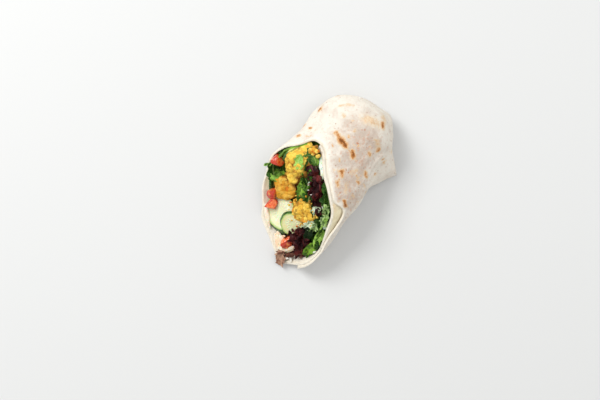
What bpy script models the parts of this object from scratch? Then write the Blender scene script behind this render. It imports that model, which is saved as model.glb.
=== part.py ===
"""Half of a vegetarian meatball wrap, cut on a long slant.

A flour tortilla is rolled about one and a half turns round green and red lettuce, cucumber, tomato, yoghurt
sauce and fried vegetable balls, and is folded shut at its far end. The half lies on its side on a small flat.
Units are metres and +Z is up. +X runs along the roll to the folded end, and +Y is to the left of that.
"""

import math

import bmesh
import bpy
import numpy as np
from mathutils import Euler, Matrix, Vector, noise

# The roll. Its section is an oval with a flat underside, a little lower at the folded end.
LEFT_HALF_WIDTH = 0.0422
RIGHT_HALF_WIDTH = 0.0385
LEFT_NARROWING = 0.0060  # each side draws in behind the cut
RIGHT_NARROWING = 0.0030
NARROWS_FROM = 0.020
NARROWS_OVER = 0.040
HALF_HEIGHT = 0.0290
HALF_HEIGHT_LOSS = 0.0060  # from the cut to the folded end
LOWERS_FROM = -0.010
LOWERS_OVER = 0.090
FLAT_DEPTH = 0.0022  # how far the oval is pressed flat underneath
END_X = 0.104
CAP_X = 0.070  # where the roll starts to round off
CAP_POWER = 0.95  # below 1 squares the rounded end
CORNER = 0.0028  # the folded end's right corner
CORNER_ANGLE = 190.0
CORNER_HALF_ARC = 60.0
# Soft lumps where the filling presses the sheet out. Each wave: height, turns round, run along and start.
SWELLS = ((0.0010, 2, 62, 1.0), (0.0008, 3, -95, 2.2), (0.0005, 5, 150, 0.0))
KNIFE_WAVER = ((0.0005, 5, 0, 0.7), (0.0003, 11, 0, 0.0))
POLE_Y = -0.004
POLE_Z = 0.0120

# The tortilla sheet, and where its two edges lie round the section, in degrees from +Y over the top.
SHEET = 0.0019
LAYER_GAP = 0.0008
INNER_EDGE = 66.0
OUTER_EDGE = 213.0
EDGE_ARC = 2.0
CLIMB = 30.0  # the arc over which the sheet climbs onto its first turn
GAP_REACH = 0.016  # how deep the gap between the turns is open at the cut
GAP_OUTSIDE = 0.004  # how far its cutter stands out of the cut
GAP_STARTS_BEFORE = 6.0  # degrees before the inner edge
GAP_ENDS_PAST = 9.0  # degrees past the outer edge
PARTING = 0.0032  # how far the outer turn stands off at the right of the cut
PARTS_AT = 152.0
PARTS_HALF_ARC = 42.0
PARTS_UP_TO = 0.022  # along the roll
PARTS_OVER = 0.035
EAR_ANGLE = 201.0
EAR_X = 0.067
EAR_REACH = (0.036, 0.020)  # along the roll, towards the cut and towards the end
EAR_LENGTH = 0.0205
EAR_HALF_ARC = 30.0
SMALL_EAR_ANGLE = -22.0
SMALL_EAR_LENGTH = 0.0045
END_FLAP_HALF_ARC = 58.0
END_FLAP_EDGE = 5.0
END_FLAP_RISE = 0.008  # the run over which the flap lifts off the roll
PLEATS = 9
PLEAT_HEIGHT = 0.0022

# The slanting cut: z = FACE_Z + FACE_RISE * x - FACE_FALL * y.
FACE_Z = 0.0294
FACE_RISE = 0.65
FACE_FALL = 0.377
# Where round the rim it strays from the plane, over what arc, and how far along the roll.
RIM_SWAY = ((66, 32, 0.0085), (50, 18, 0.0046), (120, 42, -0.0045), (160, 40, -0.0035), (196, 34, -0.0055))
FACE_YAW = math.radians(-53.0)  # the heading of the line straight up the slope's right side

CLEARANCE = 0.0004  # between neighbouring pieces
ROOM_ABOVE = 0.016  # how far the filling may stand out of the cut
CORE_SET_BACK = 0.0085  # along the roll, from the cut to the packed salad
CORE_RINGS = (1.0, 0.8, 0.58, 0.34)  # of the salad's top, as shares of its outline
CORE_DENTS = ((0.0016, 2.2, 2.0), (0.0012, 0.94, 1.0))  # height, run round and shift from ring to ring
CORE_HOLLOW = 0.0014  # how far the top sinks inside its outline, and twice that in the middle
CENTRE = Vector((0.025082, -0.003501, 0.0))  # the middle of the half's footprint

AROUND = 54
AROUND_CORE = 26
ROWS_ALONG = 8
ROWS_CAP = 8
INSIDE_ROWS_ALONG = 4
INSIDE_ROWS_CAP = 4

# Places on the cut, in mm: right, up and out of it.
TOMATO_SWELL = 0.16
TOMATO_SQUARENESS = 0.72  # 1 is a ball, and less is nearer a die
LUMP_SWELL = 0.14
# Each ball: place, heading in degrees, half sizes, and how far its sliced top stands over the cut.
BALLS = (
    ((2.6, 34.6, -3.5), -44, (11.4, 19.5, 16.0), 3.0),
    ((-14.4, 12.0, -6.0), 0, (13.0, 12.0, 14.0), 1.6),
    ((0.4, -9.6, -6.0), 10, (12.4, 13.4, 14.0), 3.6),
)
# Each slice: place, turn about X, Y and Z in degrees, radius and thickness.
CUCUMBER_SLICES = (
    ((-22.0, -13.4, -1.8), (5, -4, 10), 15.4, 4.0),
    ((-13.0, -20.5, 1.0), (0, 24, -37), 11.0, 3.2),
    ((-34.5, 18.6, -9.0), (0, 121, -10), 12.5, 3.8),
    ((-3.5, 43.5, -7.0), (0, 103, -51), 16.5, 3.2),
)
SLICE_AROUND = 22
# Points of a slice's edge, as shares of its radius and half its thickness.
SLICE_PROFILE = ((0.95, 1.0), (1.0, 0.55), (1.0, -0.55), (0.95, -1.0))
SLICE_DISH = 0.84  # the middle's share of the half thickness
SLICE_UNEVENNESS = 0.25
# Each piece of tomato: place, turn and half sizes.
TOMATO_PIECES = (
    ((-18.8, 34.8, 0.6), (15, 25, 30), (5.6, 5.4, 4.8)),
    ((-28.6, 6.8, 1.4), (20, -10, 12), (5.4, 5.0, 4.4)),
    ((-31.0, -3.0, 2.2), (-15, 20, 50), (5.0, 4.4, 4.2)),
    ((-20.6, -35.8, 1.5), (10, 30, -20), (5.4, 6.6, 4.6)),
)
BALL_AROUND = 18
BALL_ROWS = 8
CRAGS = ((0.10, 2.6, 7.0), (0.05, 6.5, 3.0))  # share of the ball's size, fineness and step from ball to ball
CRUMB_HEIGHT = 0.0009
CRUMB_FINENESS = 330
CUT_BULGE = 0.10  # the share of a ball's height over its sliced top that stays
YOGHURT = ((20.5, 27.0, -3.5), (4.0, 13.0, 7.0), -10.0)  # place, half sizes and heading

# A lettuce leaf on the cut: place, heading, lean from lying flat, length, width, ruffle height and waves.
GREEN_LEAVES = (
    ((12.5, 39.0, -2.0), 70, 38, 30, 17, 2.6, 3.0),
    ((17.5, 33.0, -3.0), 95, 62, 32, 16, 2.8, 3.5),
    ((2.6, 8.0, -2.0), 60, 30, 20, 13, 2.4, 2.5),
    ((17.5, -14.5, -2.0), 82, 34, 34, 16, 2.8, 4.0),
    ((22.5, -4.0, -4.0), 84, 68, 36, 15, 2.6, 4.0),
    ((6.5, -35.5, -1.0), 66, 25, 26, 15, 2.6, 3.0),
    ((11.5, -34.5, -3.0), 74, 64, 30, 15, 2.6, 3.5),
    ((11.0, 50.0, -4.0), 40, 60, 24, 13, 2.0, 2.5),
)
RED_LEAVES_UPPER = (
    ((16.5, 17.5, -2.0), 100, 28, 26, 15, 2.8, 3.0),
    ((19.5, 6.0, -2.0), 84, 50, 32, 14, 2.8, 3.5),
    ((14.0, 2.5, -3.0), 70, 70, 24, 13, 2.6, 3.0),
)
RED_LEAVES_LOWER = (
    ((-7.5, -31.5, -1.0), 20, 26, 24, 15, 2.8, 3.0),
    ((-6.0, -40.0, -1.0), 70, 42, 24, 15, 2.8, 3.0),
    ((-15.0, -47.5, -2.5), 8, 62, 30, 11, 2.0, 3.0),
)
RED_CORE_UPPER = ((17.0, 9.0, -9.0), (7.5, 15.0, 8.0))
RED_CORE_LOWER = ((-7.5, -38.5, -8.0), (10.0, 9.5, 7.0))
LEAF_THICKNESS = 0.0012
LEAF_STEPS = 7
LEAF_ACROSS = 3
BLADE_TAPER = 0.70  # how much of its width a leaf loses at its ends
RUFFLE_SKEW = 1.9
LEAF_CURL = 1.8
STEEP_SIDES = 2.2  # a steep wave has to be thickened this much more to be cleared

COLOURS = {
    "tortilla": (0.86, 0.74, 0.60),
    "meatball": (0.72, 0.42, 0.07),
    "cucumber": (0.62, 0.72, 0.36),
    "tomato": (0.72, 0.09, 0.03),
    "green_lettuce": (0.13, 0.30, 0.03),
    "red_lettuce": (0.09, 0.02, 0.03),
    "yoghurt": (0.86, 0.86, 0.80),
}
ROUGHNESS = {"tortilla": 0.8, "tomato": 0.25, "cucumber": 0.3, "meatball": 0.7}


def smooth(a):
    """An ease from 0 to 1 as a goes from 0 to 1."""
    a = np.clip(a, 0, 1)
    return a * a * (3 - 2 * a)


def tent(a):
    """1 at a = 0, falling straight to 0 at a = -1 and 1."""
    return np.clip(1 - np.abs(a), 0, 1)


def angle_from(phi, degrees):
    """How far phi, in radians, lies past an angle in degrees, from -180 to 180."""
    return (np.degrees(phi) - degrees + 180) % 360 - 180


def waves(phi, x, table):
    """A sum of waves round and along the roll."""
    return sum(height * np.sin(around * phi + along * x + start) for height, around, along, start in table)


def section(phi, x, shrink, inset, extra=0.0):
    """The roll's outline at x: a bumpy oval, pressed flat under. shrink closes it towards the pole."""
    x = np.minimum(x, CAP_X)
    narrowed = smooth((x - NARROWS_FROM) / NARROWS_OVER)
    left = LEFT_HALF_WIDTH - LEFT_NARROWING * narrowed
    width = np.where(np.cos(phi) > 0, left, RIGHT_HALF_WIDTH - RIGHT_NARROWING * narrowed)
    height = HALF_HEIGHT - HALF_HEIGHT_LOSS * smooth((x - LOWERS_FROM) / LOWERS_OVER)
    out = waves(phi, x, SWELLS) - inset + extra
    y = (width + out) * np.cos(phi)
    z = height - FLAT_DEPTH + (height + out) * np.sin(phi)
    y = POLE_Y + (y - POLE_Y) * shrink
    z = POLE_Z + (z - POLE_Z) * shrink
    return y, np.maximum(z, inset)


def cut_x(phi, inset, extra=lambda x: 0.0):
    """Where the line along the roll at phi meets the cut, with the rim's sway and the knife's waver."""
    x = np.zeros_like(phi)
    for _ in range(40):
        y, z = section(phi, x, 1.0, inset, extra(x))
        x = (z - FACE_Z + FACE_FALL * y) / FACE_RISE
    for degrees, half_arc, further in RIM_SWAY:
        x = x + further * smooth(tent(angle_from(phi, degrees) / half_arc))
    return x + waves(phi, 0.0, KNIFE_WAVER)


def layer_gap(phi, x):
    """The gap between the sheet's two turns, wider where the outer turn stands off at the cut."""
    near = smooth((PARTS_UP_TO - x) / PARTS_OVER)
    return LAYER_GAP + PARTING * near * smooth(tent(angle_from(phi, PARTS_AT) / PARTS_HALF_ARC))


def second_turn(phi, x):
    """How much the sheet's second turn adds: it climbs on near the inner edge and stops at the outer edge."""
    past = (np.degrees(phi) - INNER_EDGE + CLIMB) % 360
    length = OUTER_EDGE - INNER_EDGE + CLIMB
    on = smooth(past / CLIMB) * np.clip((length - past) / EDGE_ARC, 0, 1)
    return on * (SHEET + layer_gap(phi, x))


def folds(phi, x, shrink):
    """What the folded end adds outside: two pointed ears of sheet, and the top flap tucked over the sides."""
    near = tent((x - EAR_X) / np.where(x < EAR_X, *EAR_REACH)) ** 1.2
    ear = EAR_LENGTH * near * tent(angle_from(phi, EAR_ANGLE) / EAR_HALF_ARC) ** 1.5
    small = SMALL_EAR_LENGTH * near * tent(angle_from(phi, SMALL_EAR_ANGLE) / EAR_HALF_ARC) ** 1.5
    side = np.abs(angle_from(phi, 90))
    flap = SHEET * smooth((END_FLAP_HALF_ARC - side) / END_FLAP_EDGE) * smooth((x - CAP_X) / END_FLAP_RISE)
    pleats = PLEAT_HEIGHT * np.cos(PLEATS * phi + 0.6) * (1 - shrink) * shrink
    return (ear + small + flap + pleats) * np.minimum(1, 3 * shrink)


def rings(along, cap, inset, outside=False, around=AROUND, set_back=0.0):
    """Rings of points from the cut, or set_back behind it, to short of the pole, then the pole itself."""
    phi = np.linspace(0, 2 * math.pi, around, endpoint=False)
    turn = (lambda x: second_turn(phi, x)) if outside else (lambda x: 0.0)
    start = cut_x(phi, inset, turn) + set_back
    steps = [(start + (CAP_X - start) * j / along, 1.0) for j in range(along)]
    for j in range(cap):
        angle = 0.5 * math.pi * j / cap
        reach = (END_X - inset - CAP_X) * math.sin(angle) ** CAP_POWER
        corner = CORNER * smooth(tent(angle_from(phi, CORNER_ANGLE) / CORNER_HALF_ARC))
        corner = corner * tent((math.degrees(angle) - 66) / 24)
        steps.append((CAP_X + reach + corner, math.cos(angle) ** CAP_POWER))
    made = []
    for x, shrink in steps:
        extra = folds(phi, x, shrink) if outside else 0.0
        y, z = section(phi, x, shrink, inset, turn(x) + extra)
        made.append(np.stack([x, y, z], 1))
    return made, np.array([END_X - inset, POLE_Y, POLE_Z])


def ringed_solid(name, ring_list, first, last):
    """A closed solid through rings of equally many points, with a fan to a point at each end."""
    count = len(ring_list[0])
    points = [first, *np.concatenate(ring_list), last]
    faces = []
    for i in range(count):
        j = (i + 1) % count
        faces.append((0, 1 + j, 1 + i))
        for r in range(len(ring_list) - 1):
            a, b = 1 + r * count, 1 + (r + 1) * count
            faces.append((a + i, a + j, b + j, b + i))
        end = 1 + (len(ring_list) - 1) * count
        faces.append((end + i, end + j, len(points) - 1))
    return solid(name, points, faces)


def solid(name, points, faces):
    """An object in the scene from points and faces, which are split into triangles and turned outwards."""
    mesh = bpy.data.meshes.new(name)
    mesh.from_pydata([tuple(p) for p in points], [], faces)
    work = bmesh.new()
    work.from_mesh(mesh)
    bmesh.ops.triangulate(work, faces=work.faces, quad_method="FIXED")
    bmesh.ops.recalc_face_normals(work, faces=work.faces)
    if work.calc_volume(signed=True) < 0:
        bmesh.ops.reverse_faces(work, faces=work.faces)
    work.to_mesh(mesh)
    work.free()
    made = bpy.data.objects.new(name, mesh)
    bpy.context.scene.collection.objects.link(made)
    return made


def lie_on(thing, parent, place=(0, 0, 0), turn=(0, 0, 0)):
    """Parents a piece, and sets where it lies in mm and how it is turned in degrees."""
    thing.parent = parent
    thing.location = Vector(place) * 0.001
    thing.rotation_euler = Euler([math.radians(a) for a in turn])
    return thing


def combine(target, others, operation):
    """Joins, cuts or keeps in common the target and the others, which are then removed."""
    helpers = bpy.data.collections.new("helpers")
    bpy.context.scene.collection.children.link(helpers)
    for other in others:
        bpy.context.scene.collection.objects.unlink(other)
        helpers.objects.link(other)
    modifier = target.modifiers.new(operation.title(), "BOOLEAN")
    modifier.operation = operation
    modifier.solver = "MANIFOLD"
    modifier.operand_type = "COLLECTION"
    modifier.collection = helpers
    bpy.context.view_layer.update()
    graph = bpy.context.evaluated_depsgraph_get()
    made = bpy.data.meshes.new_from_object(target.evaluated_get(graph))
    target.modifiers.clear()
    target.data = made
    for other in others:
        bpy.data.objects.remove(other)
    bpy.data.collections.remove(helpers)
    keep_largest(target)


def keep_largest(target):
    """Drops loose scraps and fills sealed hollows: of the mesh's separate shells, only the largest stays."""
    work = bmesh.new()
    work.from_mesh(target.data)
    bmesh.ops.triangulate(work, faces=work.faces)
    left, shells = set(work.verts), []
    while left:
        shell, edge = set(), [left.pop()]
        while edge:
            vertex = edge.pop()
            shell.add(vertex)
            found = {e.other_vert(vertex) for e in vertex.link_edges} & left
            left -= found
            edge.extend(found)
        shells.append(shell)
    shells.sort(key=shell_volume)
    bmesh.ops.delete(work, geom=[v for s in shells[:-1] for v in s], context="VERTS")
    work.to_mesh(target.data)
    work.free()


def shell_volume(shell):
    """The volume inside a closed set of triangles: a sum of the tetrahedra from the origin."""
    faces = {f for v in shell for f in v.link_faces}
    return sum(f.verts[0].co.dot(f.verts[1].co.cross(f.verts[2].co)) for f in faces) / 6


def material(name):
    """A Principled BSDF in the food's own colour."""
    made = bpy.data.materials.get(name)
    if made is None:
        made = bpy.data.materials.new(name)
        made.use_nodes = True
        shader = made.node_tree.nodes["Principled BSDF"]
        shader.inputs["Base Color"].default_value = (*COLOURS[name], 1.0)
        shader.inputs["Roughness"].default_value = ROUGHNESS.get(name, 0.5)
    return made


def dress(thing, name):
    """Gives a finished piece its one material and smooth shading with sharp creases."""
    thing.data.materials.clear()
    thing.data.materials.append(material(name))
    thing.data.shade_smooth()
    thing.data.set_sharp_from_angle(angle=math.radians(40))


def tortilla():
    """The rolled sheet: an outer and an inner skin that meet at the cut, closed at the folded end."""
    outer, outer_pole = rings(ROWS_ALONG, ROWS_CAP, 0.0, True)
    inner, inner_pole = rings(INSIDE_ROWS_ALONG, INSIDE_ROWS_CAP, SHEET)
    made = ringed_solid("tortilla", [*outer[::-1], *inner], outer_pole, inner_pole)
    combine(made, [gap_between_turns()], "DIFFERENCE")
    return made


def gap_between_turns():
    """The thin spiral space between the sheet's two turns, open at the cut and along the outer edge."""
    columns, rows = 22, 3
    phi = np.radians(np.linspace(INNER_EDGE - GAP_STARTS_BEFORE, OUTER_EDGE + GAP_ENDS_PAST, columns))
    grids = []
    for share in (0.1, 1.0):
        start = cut_x(phi, 0.0, lambda x: share * layer_gap(phi, x)) - GAP_OUTSIDE
        for j in range(rows):
            x = start + (GAP_REACH + GAP_OUTSIDE) * j / (rows - 1)
            y, z = section(phi, x, 1.0, 0.0, share * layer_gap(phi, x))
            grids.append(np.stack([x, y, z], 1))
    return sheet_solid("gap", np.array(grids).reshape(2, rows, columns, 3))


def sheet_solid(name, grids):
    """A closed thin solid from two matching grids of points, each split into triangles the same way."""
    _, rows, columns, _ = grids.shape
    points = grids.reshape(-1, 3)
    half = rows * columns
    faces = []
    for r in range(rows - 1):
        for c in range(columns - 1):
            a, b = r * columns + c, (r + 1) * columns + c
            for triangle in ((a, a + 1, b + 1), (a, b + 1, b)):
                faces.append(triangle)
                faces.append(tuple(half + i for i in reversed(triangle)))
    border = [r * columns for r in range(rows)]
    border += [(rows - 1) * columns + c for c in range(1, columns)]
    border += [r * columns + columns - 1 for r in range(rows - 2, -1, -1)]
    border += list(range(columns - 2, 0, -1))
    for a, b in zip(border, border[1:] + border[:1]):
        faces.append((a, b, half + b))
        faces.append((a, half + b, half + a))
    return solid(name, points, faces)


def room(parent):
    """The space inside the sheet, carried on above the cut: nothing of the filling leaves it."""
    inside, pole = rings(INSIDE_ROWS_ALONG, INSIDE_ROWS_CAP, SHEET + CLEARANCE)
    rise = inside[0] + np.array(face_matrix().col[2].to_3d()) * ROOM_ABOVE
    made = ringed_solid("room", [rise, *inside], rise.mean(0), pole)
    made.parent = parent
    return made


def salad_core(parent):
    """The packed green lettuce that runs through the roll, with a hollowed, uneven top under the cut."""
    rows = INSIDE_ROWS_ALONG, INSIDE_ROWS_CAP
    inside, pole = rings(*rows, SHEET + 2 * CLEARANCE, around=AROUND_CORE, set_back=CORE_SET_BACK)
    out = np.array(face_matrix().col[2].to_3d())
    middle = inside[0].mean(0)
    top = []
    for j, share in enumerate(CORE_RINGS):
        ring = middle + (inside[0] - middle) * share
        i = np.arange(AROUND_CORE)
        dent = sum(height * np.sin(run * i + shift * j) for height, run, shift in CORE_DENTS)
        top.append(ring + out * ((dent - CORE_HOLLOW) * min(1, j))[:, None])
    made = ringed_solid("green_salad", [*top[::-1], *inside[1:]], middle - out * 2 * CORE_HOLLOW, pole)
    made.parent = parent
    return made


def face_matrix():
    """The cut's own axes as a matrix: right up the slope, up along it, out of it, and its middle."""
    out = Vector((-FACE_RISE, FACE_FALL, 1)).normalized()
    right = Vector((math.cos(FACE_YAW), math.sin(FACE_YAW), 0))
    right.z = -(out.x * right.x + out.y * right.y) / out.z
    right.normalize()
    made = Matrix((right, out.cross(right), out)).transposed().to_4x4()
    made.translation = (0, 0, FACE_Z)
    return made


def ball(name, parent, number, grow=0.0):
    """A fried ball cut through: a crumbly ellipsoid whose top is pressed to the plane of the cut."""
    place, heading, half, top = BALLS[number]
    flat = (top - place[2]) * 0.001
    made = []
    for t in np.linspace(0, math.pi, BALL_ROWS + 2):
        ring = []
        for a in np.linspace(0, 2 * math.pi, BALL_AROUND, endpoint=False) + 0.5 * t:
            way = Vector((math.sin(t) * math.cos(a), math.sin(t) * math.sin(a), math.cos(t)))
            size = 0.001
            for share, fineness, step in CRAGS:
                size *= 1 + share * noise.noise(way * fineness + Vector((step * number, 0, 0)))
            spot = Vector([way[i] * half[i] * size for i in range(3)])
            if spot.z > flat:
                crumb = CRUMB_HEIGHT * noise.noise(Vector((spot.x, spot.y, number)) * CRUMB_FINENESS)
                spot.z = flat + crumb + CUT_BULGE * (spot.z - flat) + (1 - way.z) * grow
            ring.append(spot + 1.2 * grow * way)
        made.append(np.array(ring))
    thing = ringed_solid(name, made[1:-1], made[0][0], made[-1][0])
    return lie_on(thing, parent, place, (0, 0, heading))


def slice_of_cucumber(name, parent, number, grow=0.0):
    """A round slice, its two faces a little dished and its edge rounded."""
    place, turn, radius, thickness = CUCUMBER_SLICES[number]
    a = np.linspace(0, 2 * math.pi, SLICE_AROUND, endpoint=False)
    half = thickness * 0.0005
    made = []
    for share, height in SLICE_PROFILE:
        r = (radius * share + SLICE_UNEVENNESS * np.sin(3 * a + number)) * 0.001 + grow
        z = half * height + math.copysign(grow, height)
        made.append(np.stack([r * np.cos(a), r * np.sin(a), np.full_like(a, z)], 1))
    middle = half * SLICE_DISH + grow
    thing = ringed_solid(name, made, (0, 0, middle), (0, 0, -middle))
    return lie_on(thing, parent, place, turn)


def piece_of_tomato(name, parent, number, grow=0.0):
    """A rounded, uneven die of tomato."""
    place, turn, half = TOMATO_PIECES[number]
    work = bmesh.new()
    bmesh.ops.create_icosphere(work, subdivisions=2, radius=1.0)
    for vertex in work.verts:
        way = vertex.co.normalized()
        swell = 1 + TOMATO_SWELL * noise.noise(way * 1.7 + Vector((0, 0, 5.0 * number)))
        for i in range(3):
            square = math.copysign(abs(way[i]) ** TOMATO_SQUARENESS, way[i])
            vertex.co[i] = square * (half[i] * swell * 0.001 + grow)
    mesh = bpy.data.meshes.new(name)
    work.to_mesh(mesh)
    work.free()
    thing = bpy.data.objects.new(name, mesh)
    bpy.context.scene.collection.objects.link(thing)
    return lie_on(thing, parent, place, turn)


def lump(name, parent, place, half, grow=0.0, heading=0.0):
    """A soft uneven mass, such as a spoon of yoghurt or the middle of a bunch of leaves."""
    work = bmesh.new()
    bmesh.ops.create_icosphere(work, subdivisions=2, radius=1.0)
    for vertex in work.verts:
        way = vertex.co.normalized()
        swell = 1 + LUMP_SWELL * noise.noise(way * 2.0 + Vector(place))
        vertex.co = [way[i] * (half[i] * swell * 0.001 + grow) for i in range(3)]
    mesh = bpy.data.meshes.new(name)
    work.to_mesh(mesh)
    work.free()
    thing = bpy.data.objects.new(name, mesh)
    bpy.context.scene.collection.objects.link(thing)
    return lie_on(thing, parent, place, (0, 0, heading))


def leaf(name, parent, facts, grow=0.0):
    """A thin wavy leaf: its blade curls up towards its sides, and the ruffle grows to the margin."""
    place, heading, lean, length, width, ruffle, ruffles = facts
    along = np.linspace(0, 1, LEAF_STEPS + 1)
    across = np.linspace(-1, 1, LEAF_ACROSS + 1)
    s, t = np.meshgrid(along, across, indexing="ij")
    blade = 1 - BLADE_TAPER * (1 - np.sin(math.pi * (0.08 + 0.84 * s)) ** 0.7)
    x = (s - 0.5) * length
    y = t * blade * width / 2
    wave = np.sin(2 * math.pi * ruffles * s + RUFFLE_SKEW * t + place[0])
    roll = 0.5 * np.cos(2.4 * math.pi * s + place[1])
    z = ruffle * (wave * t * t + roll) + LEAF_CURL * t * t
    grid = stretched(np.stack([x, y, z], 2) * 0.001, grow)
    half = np.array([0, 0, 0.5 * LEAF_THICKNESS + STEEP_SIDES * grow])
    thing = sheet_solid(name, np.array([grid + half, grid - half]))
    thing.parent = parent
    thing.location = Vector(place) * 0.001
    spin = Matrix.Rotation(math.radians(heading), 3, "Z")
    thing.rotation_euler = (spin @ Matrix.Rotation(math.radians(lean), 3, "X")).to_euler()
    return thing


def stretched(grid, grow):
    """A grid of points with its four borders carried outwards by grow, straight on from their neighbours."""
    for border, inner in ((0, 1), (-1, -2)):
        for lines in (grid, grid.swapaxes(0, 1)):
            way = lines[border] - lines[inner]
            lines[border] += grow * way / np.linalg.norm(way, axis=1, keepdims=True)
    return grid


def bunch(name, parent, core, leaves, grow=0.0):
    """A bunch of red lettuce: a soft core with its leaves fused on."""
    made = lump(name, parent, *core, grow=grow)
    combine(made, [leaf("blade", parent, facts, grow) for facts in leaves], "UNION")
    return made


def fill(root, face):
    """Makes the filling. Each piece is cut back from the ones before it, so that they keep a small gap."""
    made = []

    def add(name, kind, build):
        """Cuts a new piece by every earlier one, grown by the clearance, and by the room inside the sheet."""
        piece = build(name, 0.0)
        combine(piece, [room(root)], "INTERSECT")
        for _, earlier in made:
            combine(piece, [earlier("cutter", CLEARANCE)], "DIFFERENCE")
        dress(piece, kind)
        made.append((piece, build))

    for i in range(len(BALLS)):
        add(f"meatball_{i + 1}", "meatball", lambda n, g, i=i: ball(n, face, i, g))
    for i in range(len(TOMATO_PIECES)):
        add(f"tomato_{i + 1}", "tomato", lambda n, g, i=i: piece_of_tomato(n, face, i, g))
    for i in (1, 0, 2, 3):
        add(f"cucumber_{i + 1}", "cucumber", lambda n, g, i=i: slice_of_cucumber(n, face, i, g))
    red = {"upper": (RED_CORE_UPPER, RED_LEAVES_UPPER), "lower": (RED_CORE_LOWER, RED_LEAVES_LOWER)}
    for part, (core, leaves) in red.items():
        add(f"red_lettuce_{part}", "red_lettuce", lambda n, g, c=core, v=leaves: bunch(n, face, c, v, g))
    place, half, heading = YOGHURT
    add("yoghurt_sauce", "yoghurt", lambda n, g: lump(n, face, place, half, g, heading))

    salad = salad_core(root)
    combine(salad, [leaf("blade", face, facts) for facts in GREEN_LEAVES], "UNION")
    combine(salad, [room(root)], "INTERSECT")
    for _, earlier in made:
        combine(salad, [earlier("cutter", CLEARANCE)], "DIFFERENCE")
    dress(salad, "green_lettuce")


def main():
    for thing in list(bpy.data.objects):
        bpy.data.objects.remove(thing)
    root = bpy.data.objects.new("wrap", None)
    bpy.context.scene.collection.objects.link(root)
    root.location = -CENTRE
    face = bpy.data.objects.new("cut_face", None)
    bpy.context.scene.collection.objects.link(face)
    face.parent = root
    face.matrix_local = face_matrix()
    sheet = tortilla()
    sheet.parent = root
    dress(sheet, "tortilla")
    fill(root, face)


main()
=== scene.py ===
"""Half of a vegetarian meatball wrap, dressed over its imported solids, as an add-on.

The pieces are worked out in the roll's own axes, in metres: +X along the roll to its folded end, +Y left of
that and +Z up. Places on the slanting cut are in millimetres to its right, up it and out of it.
"""

import math

import bpy
import numpy as np
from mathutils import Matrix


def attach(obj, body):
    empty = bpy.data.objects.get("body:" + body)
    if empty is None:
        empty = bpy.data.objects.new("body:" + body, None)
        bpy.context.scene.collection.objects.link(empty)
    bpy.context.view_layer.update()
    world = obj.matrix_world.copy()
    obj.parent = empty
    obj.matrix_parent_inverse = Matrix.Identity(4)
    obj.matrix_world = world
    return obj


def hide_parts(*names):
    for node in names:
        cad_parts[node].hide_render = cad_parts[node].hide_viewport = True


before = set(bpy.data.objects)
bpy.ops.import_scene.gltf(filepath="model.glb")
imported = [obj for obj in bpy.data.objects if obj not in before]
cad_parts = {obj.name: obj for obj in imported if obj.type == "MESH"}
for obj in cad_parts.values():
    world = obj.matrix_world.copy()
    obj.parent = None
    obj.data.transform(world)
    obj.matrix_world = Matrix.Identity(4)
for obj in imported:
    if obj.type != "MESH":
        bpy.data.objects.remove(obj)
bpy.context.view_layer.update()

bl_info = {
    "name": "Vegetarian Meatball Wrap",
    "version": (1, 0, 0),
    "blender": (4, 5, 0),
    "location": "View3D > Sidebar > Wrap",
    "description": "Builds the looks of a cut half of a vegetarian meatball wrap",
    "category": "Add Mesh",
}

MM = 0.001

# The roll, as its solid has it. Lengths are in metres. Angles are in degrees round it, from its left over
# the top.
CENTRE = np.array([0.025082, -0.003501, 0.0])
LEFT_HALF_WIDTH = 0.0422
RIGHT_HALF_WIDTH = 0.0385
LEFT_NARROWING = 0.0060
RIGHT_NARROWING = 0.0030
NARROWS_FROM = 0.020
NARROWS_OVER = 0.040
HALF_HEIGHT = 0.0290
HALF_HEIGHT_LOSS = 0.0060
LOWERS_FROM = -0.010
LOWERS_OVER = 0.090
FLAT_DEPTH = 0.0022
# Each wave of the outline: its height, how many go round, how fast it turns along the roll, and its start.
SWELLS = ((0.0010, 2, 62, 1.0), (0.0008, 3, -95, 2.2), (0.0005, 5, 150, 0.0))
# The folded end: past CAP_X the outline shrinks to a pole.
END_X = 0.104
CAP_X = 0.070
CAP_POWER = 0.95
POLE_Y = -0.004
POLE_Z = 0.0120
CORNER = 0.0028
CORNER_ANGLE = 190.0
CORNER_HALF_ARC = 60.0
EARS = ((201.0, 0.0195), (-22.0, 0.0045))  # each pointed corner's angle and how far it stands out
EAR_X = 0.067
EAR_REACH = (0.036, 0.020)
EAR_TAPER = 1.2
EAR_HALF_ARC = 30.0
EAR_SHARPNESS = 1.5
END_FLAP_ANGLE = 90.0
END_FLAP_HALF_ARC = 58.0
END_FLAP_EDGE = 5.0
END_FLAP_RISE = 0.008
PLEATS = 9
PLEAT_HEIGHT = 0.0022
PLEAT_START = 0.6
# The sheet, which goes round from its inner edge past a full turn to its outer edge.
SHEET = 0.0019
INNER_EDGE = 66.0
OUTER_EDGE = 213.0
CLIMB = 30.0
LAYER_GAP = 0.0008
# The stretch of the cut where the outer turn stands off the inner one and is cut further back.
PARTING = 0.0017
PARTS_AT = 144.0
PARTS_HALF_ARC = 23.0
SET_BACK = 0.0115
SET_BACK_AT = 146.0
SET_BACK_HALF_ARC = 27.0
PRESSED_FROM = 156.0
PRESSED_OVER = 11.0
PRESSED_SHARE = 0.85
TUCKED_HALF_ARC = 38.0
PARTS_UP_TO = 0.022
PARTS_OVER = 0.035

# The slanting cut: z = FACE_Z + FACE_RISE * x - FACE_FALL * y.
FACE_Z = 0.0294
FACE_RISE = 0.65
FACE_FALL = 0.377
FACE_YAW = math.radians(-53.0)
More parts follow.
